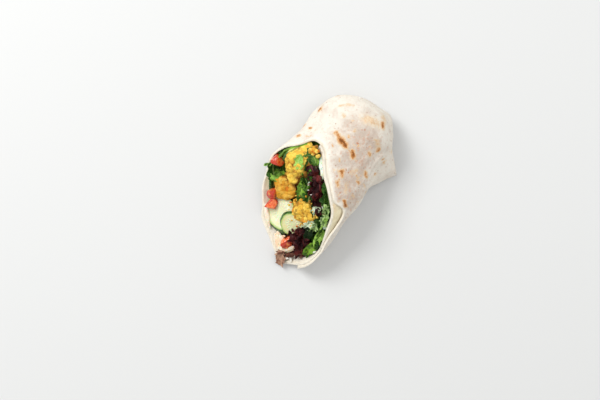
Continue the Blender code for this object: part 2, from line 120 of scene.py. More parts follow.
# Each stretch of the rim that sways: its middle and half arc in degrees, and how far it goes along the roll.
RIM_SWAY = ((66, 32, 0.0085), (50, 18, 0.0046), (120, 42, -0.0045), (160, 40, -0.0035), (196, 34, -0.0055))
KNIFE_WAVER = ((0.0005, 5, 0, 0.7), (0.0003, 11, 0, 0.0))  # waves of the rim, as SWELLS
CUT_STEPS = 40
FOREMOST_X = -0.06

HASH_FACTORS = (374761393, 668265263, 2246822519, 3266489917, 1274126177)
LATTICE_SHIFT = 1000.0  # keeps the lattice's numbers above zero
CLOD_SCATTER = 0.42


def smooth(a):
    """An ease from 0 to 1 as a goes from 0 to 1: 3a^2 - 2a^3."""
    a = np.clip(a, 0, 1)
    return a * a * (3 - 2 * a)


def tent(a):
    """1 at a = 0, falling straight to 0 at a = -1 and 1."""
    return np.clip(1 - np.abs(a), 0, 1)


def angle_from(phi, degrees):
    """How far phi, in radians, lies past an angle in degrees, from -180 to 180."""
    return (np.degrees(phi) - degrees + 180) % 360 - 180


def waves(phi, x, table):
    """A sum of waves round and along the roll."""
    return sum(height * np.sin(around * phi + along * x + start) for height, around, along, start in table)


def hashed(i, j, k, seed):
    """A number from -1 to 1 for each whole-number lattice point, from its bits multiplied and folded."""
    across, down, deep, seeded, folded = HASH_FACTORS
    mask = np.uint64(0xFFFFFFFF)
    n = i.astype(np.uint64) * np.uint64(across) + j.astype(np.uint64) * np.uint64(down)
    n = (n + k.astype(np.uint64) * np.uint64(deep) + np.uint64(seed * seeded)) & mask
    n = ((n ^ (n >> np.uint64(13))) * np.uint64(folded)) & mask
    n = ((n ^ (n >> np.uint64(15))) * np.uint64(deep)) & mask
    return (n ^ (n >> np.uint64(16))).astype(float) / float(mask) * 2 - 1


def grain(points, size, seed=0):
    """Smooth noise from -1 to 1 with features of the given size: hashed lattice values, eased between."""
    cell = np.asarray(points) / size + LATTICE_SHIFT
    low = np.floor(cell).astype(np.int64)
    part = smooth(cell - low)
    total = 0.0
    for corner in np.ndindex(2, 2, 2):
        weight = np.prod(np.abs(1 - np.array(corner) - part), axis=-1)
        total = total + weight * hashed(*np.moveaxis(low + corner, -1, 0), seed)
    return total


def rough(points, size, seed=0, octaves=3):
    """Noise of several sizes: each octave has half the size and half the height of the one before."""
    return sum(grain(points, size / 2**o, seed + o) / 2**o for o in range(octaves))


def clods(points, size, seed=0):
    """Round crumbs: each point's height on its nearest one, 1 - distance in cells, and that one's number."""
    cell = np.asarray(points) / size + LATTICE_SHIFT
    low = np.floor(cell).astype(np.int64)
    nearest = np.full(cell.shape[:-1], np.inf)
    number = np.zeros(cell.shape[:-1])
    for step in np.ndindex(3, 3, 3):
        corner = low + step - 1
        lattice = np.moveaxis(corner, -1, 0)
        shift = np.stack([hashed(*lattice, seed + n) for n in (1, 2, 3)], -1)
        distance = np.linalg.norm(cell - (corner + 0.5 + CLOD_SCATTER * shift), axis=-1)
        closer = distance < nearest
        nearest = np.where(closer, distance, nearest)
        number = np.where(closer, hashed(*lattice, seed + 4), number)
    return np.clip(1 - nearest, 0, 1), number


def oval(x, on_left):
    """Half the width and half the height of the roll's oval at x, before its bumps."""
    narrowed = smooth((x - NARROWS_FROM) / NARROWS_OVER)
    left = LEFT_HALF_WIDTH - LEFT_NARROWING * narrowed
    right = RIGHT_HALF_WIDTH - RIGHT_NARROWING * narrowed
    height = HALF_HEIGHT - HALF_HEIGHT_LOSS * smooth((x - LOWERS_FROM) / LOWERS_OVER)
    return np.where(on_left, left, right), height


def section(phi, x, shrink, inset, extra=0.0):
    """The roll's outline at x: a bumpy oval, pressed flat under. shrink closes it towards the pole."""
    x = np.minimum(x, CAP_X)
    width, height = oval(x, np.cos(phi) > 0)
    out = waves(phi, x, SWELLS) - inset + extra
    y = (width + out) * np.cos(phi)
    z = height - FLAT_DEPTH + (height + out) * np.sin(phi)
    y = POLE_Y + (y - POLE_Y) * shrink
    z = POLE_Z + (z - POLE_Z) * shrink
    return y, np.maximum(z, inset)


def cut_x(phi, inset, extra=lambda x: 0.0):
    """Where the line along the roll at phi meets the cut, x = (z - FACE_Z + FACE_FALL y) / FACE_RISE.

    The line's y and z change with x, so x is worked out again from the last one until it settles. The rim
    then sways and wavers along the roll.
    """
    x = np.zeros_like(phi)
    for _ in range(CUT_STEPS):
        y, z = section(phi, x, 1.0, inset, extra(x))
        x = (z - FACE_Z + FACE_FALL * y) / FACE_RISE
    for degrees, half_arc, further in RIM_SWAY:
        x = x + further * smooth(tent(angle_from(phi, degrees) / half_arc))
    return x + waves(phi, 0.0, KNIFE_WAVER)


def layer_gap(phi, x):
    """The gap between the sheet's two turns, wider where the outer turn stands off at the cut."""
    near = smooth((PARTS_UP_TO - x) / PARTS_OVER)
    pressed = smooth((angle_from(phi, PRESSED_FROM) + 0 * x) / PRESSED_OVER)
    gap = LAYER_GAP * (1 - PRESSED_SHARE * pressed)
    return gap + PARTING * near * smooth(tent(angle_from(phi, PARTS_AT) / PARTS_HALF_ARC))


def folds(phi, x, shrink):
    """What the folded end adds outside: two pointed ears of sheet, the top flap and the gathered pleats."""
    near = tent((x - EAR_X) / np.where(x < EAR_X, *EAR_REACH)) ** EAR_TAPER
    ears = 0.0
    for degrees, length_out in EARS:
        ears = ears + length_out * near * tent(angle_from(phi, degrees) / EAR_HALF_ARC) ** EAR_SHARPNESS
    side = np.abs(angle_from(phi, END_FLAP_ANGLE))
    flap = SHEET * smooth((END_FLAP_HALF_ARC - side) / END_FLAP_EDGE) * smooth((x - CAP_X) / END_FLAP_RISE)
    pleats = PLEAT_HEIGHT * np.cos(PLEATS * phi + PLEAT_START) * (1 - shrink) * shrink
    return (ears + flap + pleats) * np.minimum(1, 3 * shrink)


def face_axes():
    """The cut's middle, and the directions right, up and out of it."""
    out = np.array([-FACE_RISE, FACE_FALL, 1.0])
    out /= np.linalg.norm(out)
    right = np.array([math.cos(FACE_YAW), math.sin(FACE_YAW), 0.0])
    right[2] = -(out @ right) / out[2]
    right /= np.linalg.norm(right)
    return np.array([0, 0, FACE_Z]), right, np.cross(out, right), out


def on_face(points):
    """Points in mm right, up and out of the cut, in the roll's axes: middle + u right + v up + h out."""
    middle, right, up, out = face_axes()
    points = np.asarray(points) * MM
    return middle + points[..., :1] * right + points[..., 1:2] * up + points[..., 2:3] * out


def turned(points, degrees, axis):
    """Points turned about the X, Y or Z axis."""
    a = math.radians(degrees)
    i, j = {"X": (1, 2), "Y": (2, 0), "Z": (0, 1)}[axis]
    made = np.array(points, dtype=float)
    made[..., i] = math.cos(a) * points[..., i] - math.sin(a) * points[..., j]
    made[..., j] = math.sin(a) * points[..., i] + math.cos(a) * points[..., j]
    return made


def placed(points, turn, place):
    """Points turned about X, then Y, then Z, in degrees, and moved to a place."""
    for degrees, axis in zip(turn, "XYZ"):
        points = turned(points, degrees, axis)
    return points + np.array(place)


def kept_inside(points, clear):
    """Pulls points in to the roll's inner wall, less clear: in the oval's own units they reach 1 at most."""
    x, y, z = np.moveaxis(np.array(points, dtype=float), -1, 0)
    along = np.clip(x, FOREMOST_X, CAP_X)
    width, height = oval(along, y > 0)
    middle = height - FLAT_DEPTH
    phi = np.arctan2((z - middle) / height, y / width)
    out = waves(phi, along, SWELLS) - SHEET - clear
    reach = np.hypot(y / (width + out), (z - middle) / (height + out))
    pull = 1 / np.maximum(reach, 1.0)
    z = np.maximum(middle + (z - middle) * pull, SHEET + clear)
    return np.stack([x, y * pull, z], -1)


def grid_faces(rows, columns, wrap=False):
    """Quads over a grid of points in row order, as an array of indices."""
    r = np.arange(rows - 1)[:, None]
    c = np.arange(columns if wrap else columns - 1)[None, :]
    n = (c + 1) % columns
    quads = np.stack([r * columns + c, r * columns + n, (r + 1) * columns + n, (r + 1) * columns + c], -1)
    return quads.reshape(-1, 4)


def fan_faces(ring, pole, flip=False):
    """Triangles from a closed ring of indices to one point."""
    turned_ring = np.roll(ring, -1)
    made = np.stack([ring, turned_ring, np.full_like(ring, pole)], -1)
    return made[:, ::-1] if flip else made


def thin_sheet(grid, thickness):
    """A closed thin sheet: the grid moved half its thickness each way along its normals, its edge joined."""
    normals = grid_normals(grid)
    half = normals * (np.asarray(thickness) / 2)[..., None]
    rows, columns = grid.shape[:2]
    count = rows * columns
    points = np.concatenate([(grid + half).reshape(-1, 3), (grid - half).reshape(-1, 3)])
    front = grid_faces(rows, columns)
    index = np.arange(count).reshape(rows, columns)
    border = np.concatenate([index[0, :-1], index[:-1, -1], index[-1, :0:-1], index[:0:-1, 0]])
    after = np.roll(border, -1)
    edge = np.stack([after, border, border + count, after + count], -1)
    return points, [front, front[:, ::-1] + count, edge]


def grid_normals(grid):
    """Unit normals of a grid of points: the cross product of its slopes across and down."""
    normals = np.cross(np.gradient(grid, axis=1), np.gradient(grid, axis=0))
    return normals / (np.linalg.norm(normals, axis=-1, keepdims=True) + 1e-12)


def outward(points, faces):
    """The same closed shape facing out: the tetrahedra from its middle to its faces add up to above 0."""
    centred = points - points.mean(0)
    total = 0.0
    for f in faces:
        for k in range(1, f.shape[1] - 1):
            a, b, c = centred[f[:, 0]], centred[f[:, k]], centred[f[:, k + 1]]
            total += float(np.einsum("ij,ij->", a, np.cross(b, c)))
    return points, (faces if total > 0 else [f[:, ::-1] for f in faces])


def round_solid(grid, values):
    """A closed solid and its point values from rings, the first and last of which have shrunk to poles."""
    rows, columns = grid.shape[:2]
    points = np.concatenate([grid[1:-1].reshape(-1, 3), grid[0].mean(0)[None], grid[-1].mean(0)[None]])
    count = (rows - 2) * columns
    first, last = np.arange(columns), np.arange(count - columns, count)
    ends = [fan_faces(first, count, True), fan_faces(last, count + 1)]
    points, faces = outward(points, [grid_faces(rows - 2, columns, wrap=True), *ends])
    flat = {key: np.concatenate([v[1:-1].ravel(), [v[0].mean(), v[-1].mean()]]) for key, v in values.items()}
    return points, faces, flat


def sphere_grid(rows, columns):
    """Directions over a ball from its top to its bottom: (sin t cos a, sin t sin a, cos t)."""
    t = np.linspace(0, math.pi, rows)[:, None]
    a = np.linspace(0, 2 * math.pi, columns, endpoint=False)[None, :]
    return np.stack([np.sin(t) * np.cos(a), np.sin(t) * np.sin(a), np.cos(t) + 0 * a], -1)


def joined(parts):
    """Several (points, faces, attributes) as one."""
    points, faces, values, start = [], [], {}, 0
    for part_points, part_faces, part_values in parts:
        points.append(part_points)
        faces.extend(f + start for f in part_faces)
        for key, value in part_values.items():
            values.setdefault(key, []).append(value)
        start += len(part_points)
    return np.concatenate(points), faces, {key: np.concatenate(value) for key, value in values.items()}


def linked(name, data):
    """A new object of the scene with some data."""
    made = bpy.data.objects.new(name, data)
    bpy.context.scene.collection.objects.link(made)
    return made


def piece(name, points, faces, values, material, slot, *nodes):
    """An object from arrays of points, faces and point attributes, on the root in place of its nodes."""
    mesh = bpy.data.meshes.new(name)
    points = points - CENTRE
    loops = np.concatenate([f.ravel() for f in faces])
    sizes = np.concatenate([np.full(len(f), f.shape[1]) for f in faces])
    mesh.vertices.add(len(points))
    mesh.vertices.foreach_set("co", points.astype(np.float32).ravel())
    mesh.loops.add(len(loops))
    mesh.loops.foreach_set("vertex_index", loops.astype(np.int32))
    mesh.polygons.add(len(sizes))
    mesh.polygons.foreach_set("loop_start", (np.cumsum(sizes) - sizes).astype(np.int32))
    mesh.polygons.foreach_set("use_smooth", np.ones(len(sizes), dtype=bool))
    for key, value in values.items():
        mesh.attributes.new(key, "FLOAT", "POINT").data.foreach_set("value", value.astype(np.float32))
    mesh.update(calc_edges=True)
    if mesh.validate():
        raise RuntimeError(f"{name} has broken faces")
    mesh.materials.append(material)
    made = linked(name, mesh)
    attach(made, "root")
    if nodes:
        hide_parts(*nodes)


def pieces(name, shapes, material, slot, node):
    """Pieces of one kind, numbered from 1, each in place of the node of the same number."""
    for i, shape in enumerate(shapes, 1):
        piece(f"{name}_{i}", *shape, material, slot, f"{node}_{i}")


class Nodes:
    """A material's node tree, with short ways to add and link its nodes."""

    MIX_SHARE, MIX_A, MIX_B = 0, 6, 7  # the mix node's inputs for colours
    MIX_RESULT = 2

    def __init__(self, name, roughness=0.5, **sockets):
        self.material = bpy.data.materials.new(name)
        self.material.use_nodes = True
        self.tree = self.material.node_tree
        self.shader = self.tree.nodes["Principled BSDF"]
        self.shader.inputs["Roughness"].default_value = roughness
        for key, value in sockets.items():
            self.shader.inputs[key.replace("_", " ")].default_value = value
        self.place = self.add("TexCoord").outputs["Object"]

    def add(self, kind, **settings):
        """A new node of a kind, with its settings."""
        group = "ShaderNodeTex" if kind in ("Noise", "Voronoi") else "ShaderNode"
        node = self.tree.nodes.new(group + kind)
        for key, value in settings.items():
            setattr(node, key, value)
        return node

    def feed(self, socket, value):
        """Links an output, or sets a number or colour."""
        if isinstance(value, bpy.types.NodeSocket):
            self.tree.links.new(value, socket)
        elif socket.type == "RGBA":
            socket.default_value = (*value, 1.0)
        else:
            socket.default_value = value

    def noise(self, size, detail=3.0, rough=0.55, distortion=0.0):
        """Noise from 0 to 1 with features of a size in metres."""
        node = self.add("Noise")
        self.feed(node.inputs["Vector"], self.place)
        node.inputs["Scale"].default_value = 1 / size
        node.inputs["Detail"].default_value = detail
        node.inputs["Roughness"].default_value = rough
        node.inputs["Distortion"].default_value = distortion
        return node.outputs["Fac"]

    def cells(self, size, feature="F1"):
        """Distance to the nearest of many scattered points, in cells of a size in metres."""
        node = self.add("Voronoi", feature=feature)
        self.feed(node.inputs["Vector"], self.place)
        node.inputs["Scale"].default_value = 1 / size
        return node.outputs["Distance"]

    def math(self, operation, a, b=0.0, c=0.0):
        """A sum, product or other operation on numbers."""
        node = self.add("Math", operation=operation)
        for socket, value in zip(node.inputs, (a, b, c)):
            self.feed(socket, value)
        return node.outputs[0]

    def times(self, a, b):
        """The product of two numbers."""
        return self.math("MULTIPLY", a, b)

    def plus(self, a, b):
        """The sum of two numbers."""
        return self.math("ADD", a, b)

    def scaled(self, value, by, plus):
        """A value times a number, plus another."""
        return self.math("MULTIPLY_ADD", value, by, plus)

    def size_of(self, value):
        """A value without its sign."""
        return self.math("ABSOLUTE", value)

    def ramp(self, value, low, high, to_low=0.0, to_high=1.0):
        """An eased step: to_low where the value is at low, to_high where it is at high."""
        node = self.add("MapRange", interpolation_type="SMOOTHSTEP")
        keys = ("Value", "From Min", "From Max", "To Min", "To Max")
        for key, number in zip(keys, (value, low, high, to_low, to_high)):
            self.feed(node.inputs[key], number)
        return node.outputs["Result"]

    def mix(self, share, a, b):
        """From colour a to colour b by a share."""
        node = self.add("Mix", data_type="RGBA")
        for place, value in ((self.MIX_SHARE, share), (self.MIX_A, a), (self.MIX_B, b)):
            self.feed(node.inputs[place], value)
        return node.outputs[self.MIX_RESULT]

    def layer(self, under, over, field, low, high, most=1.0):
        """Colour under, with colour over laid on it as a field goes from low to high, up to a share."""
        return self.mix(self.ramp(field, low, high, 0.0, most), under, over)

    def value(self, name):
        """A point attribute of the piece."""
        return self.add("Attribute", attribute_name=name).outputs["Fac"]

    def finish(self, colour, roughness=None, bumps=()):
        """Links the colour, the roughness and a chain of bumps, each a height and how far it stands out."""
        self.feed(self.shader.inputs["Base Color"], colour)
        if roughness is not None:
            self.feed(self.shader.inputs["Roughness"], roughness)
        normal = None
        for height, distance in bumps:
            bump = self.add("Bump")
            bump.inputs["Distance"].default_value = distance
            self.feed(bump.inputs["Height"], height)
            if normal is not None:
                self.feed(bump.inputs["Normal"], normal)
            normal = bump.outputs["Normal"]
        if normal is not None:
            self.feed(self.shader.inputs["Normal"], normal)
        return self.material


# ---------------------------------------------------------------------------------------------- tortilla

TURN_COLUMNS = 330
ROWS_ALONG = 84
ROWS_CAP = 34
EDGE_ROWS = 5
EDGE_BULGE = 0.0004
EDGE_RAGGED = 0.8
EDGE_RAGGED_SIZE = 0.0016
CUT_UNIT = 0.01  # the attribute from_cut counts in these
TUCKED_MOST = 1.6
TUCKED_OVER = 1.5  # in cut units
INSIDE_UNTOASTED = 0.85
COVERED_INSET = 0.0007
COVERED_OVER = 0.012
ROW_CROWDING = 1.12  # above 1, rows lie closer together at the cut
CORNER_RING = (66.0, 24.0)  # where the corner stands on the end's quarter turn, and its half arc, in degrees
CRUMPLE_SIZE = 0.017
WRINKLE_SIZE = 0.006
WRINKLE_SHARE = 0.4
WRINKLE_STRETCH = np.array([0.45, 1.5, 1.5])
# Toasted spots: one end, the other end and the radius, in mm in the roll's axes, and how dark.
TOASTED_SPOTS = (
    ((62.2, 10.8, 47.6), (60.4, 4.8, 49.3), 2.3, 0.85),
    ((60.3, 4.2, 49.4), (57.6, -2.0, 49.9), 2.9, 1.15),
    ((56.9, -4.5, 49.7), (56.3, -9.2, 48.8), 0.7, 0.75),
    ((56.8, -10.5, 48.5), (54.6, -12.4, 48.2), 2.5, 1.15),
    ((76.6, -21.4, 44.7), (74.0, -23.5, 42.5), 2.2, 0.50),
    ((72.5, -25.4, 40.6), (71.5, -26.0, 39.8), 2.4, 1.05),
    ((92.0, -15.4, 38.8), (89.8, -17.5, 40.4), 2.6, 0.95),
    ((86.2, -2.1, 45.6), (88.7, -10.9, 43.8), 5.0, 0.44),
    ((98.0, -12.0, 31.0), (95.0, -14.0, 35.0), 3.6, 0.42),
    ((82.8, 21.8, 41.0), (88.6, 14.0, 40.9), 1.7, 0.44),
    ((77.5, 15.9, 45.7), (76.8, 14.6, 45.8), 1.5, 0.60),
    ((50.1, -29.0, 40.9), (48.1, -31.3, 40.0), 2.3, 0.95),
    ((65.2, -20.8, 43.8), (64.2, -22.8, 43.1), 1.8, 0.70),
    ((40.6, -27.7, 44.0), (39.7, -29.9, 42.9), 1.8, 0.75),
    ((38.6, -12.0, 50.6), (35.8, -14.6, 50.7), 2.4, 0.92),
    ((29.5, -14.3, 52.2), (27.5, -16.7, 52.1), 1.9, 0.68),
    ((20.2, -29.1, 49.4), (17.8, -32.1, 47.6), 2.1, 1.10),
    ((41.1, -33.8, 39.3), (40.1, -36.0, 37.4), 1.3, 0.50),
    ((28.3, -30.9, 45.9), (28.1, -33.3, 43.6), 1.4, 0.40),
    ((33.0, -22.0, 49.0), (27.0, -25.0, 49.0), 2.6, 0.34),
    ((48.0, -22.0, 46.0), (44.0, -20.0, 47.5), 2.6, 0.36),
    ((11.4, -24.6, 48.6), (4.4, -29.4, 45.6), 3.4, 0.58),
    ((50.9, 29.8, 34.7), (54.0, 26.3, 37.5), 0.8, 0.75),
    ((44.3, 29.6, 37.2), (47.6, 26.3, 39.6), 0.8, 0.75),
    ((78.3, 6.7, 47.6), (77.8, 6.0, 47.7), 0.9, 0.80),
    ((73.4, -0.9, 48.2), (72.4, -2.1, 48.2), 0.9, 0.80),
    ((66.0, 0.7, 48.3), (64.8, -0.3, 48.3), 0.9, 0.75),
    ((51.6, 6.7, 50.7), (51.0, 5.9, 50.9), 0.9, 0.80),
    ((77.0, -18.3, 46.7), (76.2, -19.1, 46.5), 0.9, 0.80),
    ((46.0, -4.9, 51.3), (45.0, -5.7, 51.3), 0.9, 0.75),
    ((43.6, -24.0, 45.6), (42.8, -25.1, 45.0), 1.2, 0.60),
    ((37.0, -9.5, 51.7), (36.0, -10.3, 51.7), 0.9, 0.60),
)
SPOT_WARP = 1.1  # how far noise pulls the spots out of round, in mm
SPOT_WARP_SIZE = 0.0045
SPOT_FADE = 1.5  # where a spot ends, in radii
SPOT_RUN = 0.8  # how far a scattered spot may be drawn out along the roll, in radii
SPOT_SLANT = -0.5
# The long middle of the top, warmer than the rest: its two ends and its reach, in mm.
TANNED = ((68.0, -11.5, 48.0), (18.0, -28.5, 48.0), 17.0)
# Scattered spots: how many, between which angles and places along, radii and strengths.
SCATTERED = (
    (44, (196.0, 395.0), (-0.030, 0.096), (0.9, 3.2), (0.45, 1.05)),
    (34, (98.0, 160.0), (0.010, 0.092), (0.5, 1.1), (0.50, 0.95)),
    (13, (160.0, 198.0), (-0.010, 0.094), (0.8, 2.4), (0.45, 1.00)),
)


def spread_spots():
    """More toasted spots, large ones on the sides and the back and freckles on top, from a fixed seed."""
    pick = np.random.default_rng(7)
    made = []
    for count, angles, along, radii, strengths in SCATTERED:
        for _ in range(count):
            phi = np.radians(np.array([pick.uniform(*angles)]))
            x = pick.uniform(*along)
            shrink = math.sqrt(1 - (max(0.0, x - CAP_X) / (END_X - CAP_X)) ** 2) ** CAP_POWER
            lift = (SHEET + layer_gap(phi, x)) * (np.degrees(phi) < OUTER_EDGE)
            y, z = section(phi, np.array([x]), shrink, 0.0, lift)
            spot = np.array([x, y[0], z[0]]) / MM
            radius = pick.uniform(*radii)
            run = pick.uniform(-SPOT_RUN, SPOT_RUN) * radius
            other = spot + np.array([run, SPOT_SLANT * run, 0.0])
            made.append((tuple(spot), tuple(other), radius, pick.uniform(*strengths)))
    return made


EVERY_SPOT = (*TOASTED_SPOTS, *spread_spots())


def segment_distance(places, start, end):
    """How far each place lies from the line between two points."""
    run = np.array(end) - np.array(start)
    share = np.clip(((places - start) @ run) / (run @ run), 0, 1)
    return np.linalg.norm(places - start - share[..., None] * run, axis=-1)


def toast_field(points):
    """How toasted each point is: the largest of each spot's strength x (SPOT_FADE - distance / radius)."""
    field = np.zeros(points.shape[:-1])
    warp = np.stack([rough(points, SPOT_WARP_SIZE, seed, 2) for seed in (61, 62, 63)], -1)
    places = points / MM + SPOT_WARP * warp
    for start, end, radius, strength in EVERY_SPOT:
        near = np.clip(SPOT_FADE - segment_distance(places, start, end) / radius, 0, SPOT_FADE)
        field = np.maximum(field, strength * near)
    return field


def end_ring(share, inset):
    """A folded end's ring: x grows as the sine of a quarter turn, and the outline shrinks as its cosine."""
    angle = 0.5 * math.pi * share
    x = CAP_X + (END_X - inset - CAP_X) * math.sin(angle) ** CAP_POWER
    return x, max(0.0, math.cos(angle)) ** CAP_POWER


def sheet_grid(theta, inset, settings):
    """One skin of the rolled sheet, from the folded end to the cut.

    At each place the skin lies at the roll's oval, plus the turn's climb, folds, creases and blisters, less
    its inset, which is the sheet's thickness on the inside and 0 outside.
    """
    phi = np.radians(theta)
    on = smooth((theta - 360 - INNER_EDGE + CLIMB) / CLIMB)
    covered = ((theta > INNER_EDGE) & (theta < OUTER_EDGE)).astype(float)
    start = cut_x(phi, inset, lambda x: on * (SHEET + layer_gap(phi, x)))
    start = start + SET_BACK * on * smooth(tent(angle_from(phi, SET_BACK_AT) / SET_BACK_HALF_ARC))
    steps = [(start + (CAP_X - start) * (j / ROWS_ALONG) ** ROW_CROWDING, 1.0) for j in range(ROWS_ALONG)]
    corner = CORNER * smooth(tent(angle_from(phi, CORNER_ANGLE) / CORNER_HALF_ARC))
    for share in np.arange(ROWS_CAP) / ROWS_CAP:
        x, shrink = end_ring(share, inset)
        steps.append((x + corner * smooth(tent((90 * share - CORNER_RING[0]) / CORNER_RING[1])), shrink))
    made = []
    for x, shrink in steps:
        base = np.stack([x, *section(phi, x, shrink, 0.0)], -1)
        crumple = settings.crumple * rough(base, CRUMPLE_SIZE, 3) * np.minimum(1, 2 * shrink)
        wrinkle = WRINKLE_SHARE * settings.crumple * rough(base * WRINKLE_STRETCH, WRINKLE_SIZE, 11, 2)
        crease = settings.crease * creases(phi, x) * np.minimum(1, 2 * shrink)
        blister = settings.blister * smooth(toast_field(base)) * np.minimum(1, 3 * shrink)
        gap = on * (SHEET + layer_gap(phi, x)) - COVERED_INSET * covered * smooth((x - CAP_X) / COVERED_OVER)
        extra = gap + folds(phi, x, shrink) + crumple + wrinkle + crease + blister
        made.append(np.stack([x, *section(phi, x, shrink, inset, extra)], -1))
    return np.array(made[::-1])


# Each crease: angle round, half width in degrees, from x to x, height in parts of the setting, and how far
# it swings round.
CREASES = (
    (140.0, 5.0, 0.004, 0.070, 0.8, 26.0),
    (118.0, 7.0, 0.030, 0.088, -0.6, 12.0),
    (160.0, 6.0, 0.030, 0.080, 0.9, 20.0),
    (75.0, 8.0, 0.060, 0.098, -0.5, -14.0),
    (100.0, 4.0, 0.076, 0.100, 0.7, 10.0),
    (52.0, 5.0, 0.036, 0.090, 0.7, 10.0),
    (176.0, 6.0, 0.028, 0.076, -1.0, 14.0),
    (228.0, 7.0, 0.020, 0.080, -0.9, -18.0),
    (20.0, 6.0, 0.010, 0.085, 0.6, 12.0),
    (150.0, 5.0, 0.050, 0.096, 2.4, 20.0),
    (160.0, 6.0, 0.044, 0.092, -2.2, 20.0),
    (128.0, 3.0, 0.020, 0.060, 0.5, -16.0),
    (108.0, 3.0, 0.012, 0.050, 0.5, 14.0),
    (320.0, 7.0, 0.005, 0.085, 0.8, -10.0),
)


def creases(phi, x):
    """Soft long creases: each a bell across its line, eased in and out along it, and all added up."""
    total = np.zeros_like(phi)
    for degrees, half_width, start, end, height, swing in CREASES:
        share = (x - start) / (end - start)
        across = angle_from(phi, degrees + swing * (share - 0.5)) / half_width
        total = total + height * np.exp(-across * across) * smooth(share * 3) * smooth((1 - share) * 3)
    return total


def sheet_faces(rows, columns, count):
    """Faces of the rolled sheet: its grid, both skins drawn to their poles, and its two free edges closed.

    count is the number of rows in each skin. The two poles are the points after the grid's own.
    """
    outer_pole, inner_pole = rows * columns, rows * columns + 1
    index = np.arange(rows * columns).reshape(rows, columns)
    faces = [grid_faces(rows, columns)]
    for ring, pole, flip in ((index[0], outer_pole, True), (index[-1], inner_pole, False)):
        fan = np.stack([ring[:-1], ring[1:], np.full(columns - 1, pole)], -1)
        faces.append(fan[:, ::-1] if flip else fan)
    for column, flip in ((0, False), (columns - 1, True)):
        left, right = index[:count, column], index[::-1, column][:count]
        strip = np.stack([left[:-1], left[1:], right[1:], right[:-1]], -1)
        end = np.array([[outer_pole, left[0], right[0]], [outer_pole, right[0], inner_pole]])
        middle = index[count - 1:rows - count + 1, column]
        cap = np.stack([np.full(len(middle) - 2, middle[0]), middle[1:-1], middle[2:]], -1)
        for made in (strip, end, cap):
            faces.append(made[:, ::-1] if flip else made)
    return faces


def tortilla_shape(settings):
    """The spiral sheet as one closed shape: outer skin, rounded cut edge, inner skin and two free edges."""
    theta = np.linspace(INNER_EDGE, OUTER_EDGE + 360, TURN_COLUMNS)
    outer = sheet_grid(theta, 0.0, settings)
    inner = sheet_grid(theta, SHEET, settings)[::-1]
    out = face_axes()[3]
    a = np.linspace(0, math.pi, EDGE_ROWS + 2)[1:-1, None, None]
    share = (1 - np.cos(a)) / 2
    ragged = 1 + EDGE_RAGGED * grain(outer[-1], EDGE_RAGGED_SIZE, 5)[None, :, None]
    edge = outer[-1] * (1 - share) + inner[0] * share + out * np.sin(a) * EDGE_BULGE * ragged
    grid = np.concatenate([outer, edge, inner])
    rows, columns = grid.shape[:2]
    poles = [[END_X, POLE_Y, POLE_Z], [END_X - SHEET, POLE_Y, POLE_Z]]
    count = len(outer)
    points, faces = outward(np.concatenate([grid.reshape(-1, 3), poles]), sheet_faces(rows, columns, count))

    on_edge = np.zeros((rows, columns))
    on_edge[count - 1:count + EDGE_ROWS + 1] = 1.0
    inside = np.zeros((rows, columns))
    inside[count + EDGE_ROWS:] = 1.0
    from_cut = np.linalg.norm(grid - outer[-1], axis=-1) / CUT_UNIT
    under = 1 - smooth((theta - 360 - INNER_EDGE + CLIMB) / CLIMB)
    under = under * smooth(tent(angle_from(np.radians(theta), SET_BACK_AT) / TUCKED_HALF_ARC))
    values = {
        "toast": toast_field(grid) * (1 - INSIDE_UNTOASTED * inside) * (1 - on_edge),
        "cut": on_edge,
        "inside": inside,
        "from_cut": from_cut,
        "tanned": np.exp(-(segment_distance(grid / MM, *TANNED[:2]) / TANNED[2]) ** 2),
        "tucked": under * (1 - inside) * (1 - on_edge) * np.clip(TUCKED_MOST - from_cut / TUCKED_OVER, 0, 1),
    }
    return points, faces, {key: np.append(value.ravel(), [0.0, 0.0]) for key, value in values.items()}


WARM_BLOTCH = (0.66, 0.38, 0.25)
BRAN_SPECK = (0.40, 0.20, 0.10)
FRECKLE = (0.50, 0.17, 0.06)
# Paler inner side of the sheet, lightened further as painted light on the shaded inner wall.
INNER_DOUGH_AND_PAINTED_LIGHT = (0.95, 0.87, 0.72)
CUT_PALE = (0.94, 0.86, 0.68)
CUT_SHADED = (0.84, 0.70, 0.48)
# Pale yellow of the inner turn where the outer turn is cut back, brightened as painted light against the
# outer turn's shade.
TUCKED_DOUGH_AND_PAINTED_LIGHT = (1.0, 0.90, 0.60)
RIM_DOUGH = (0.95, 0.91, 0.81)


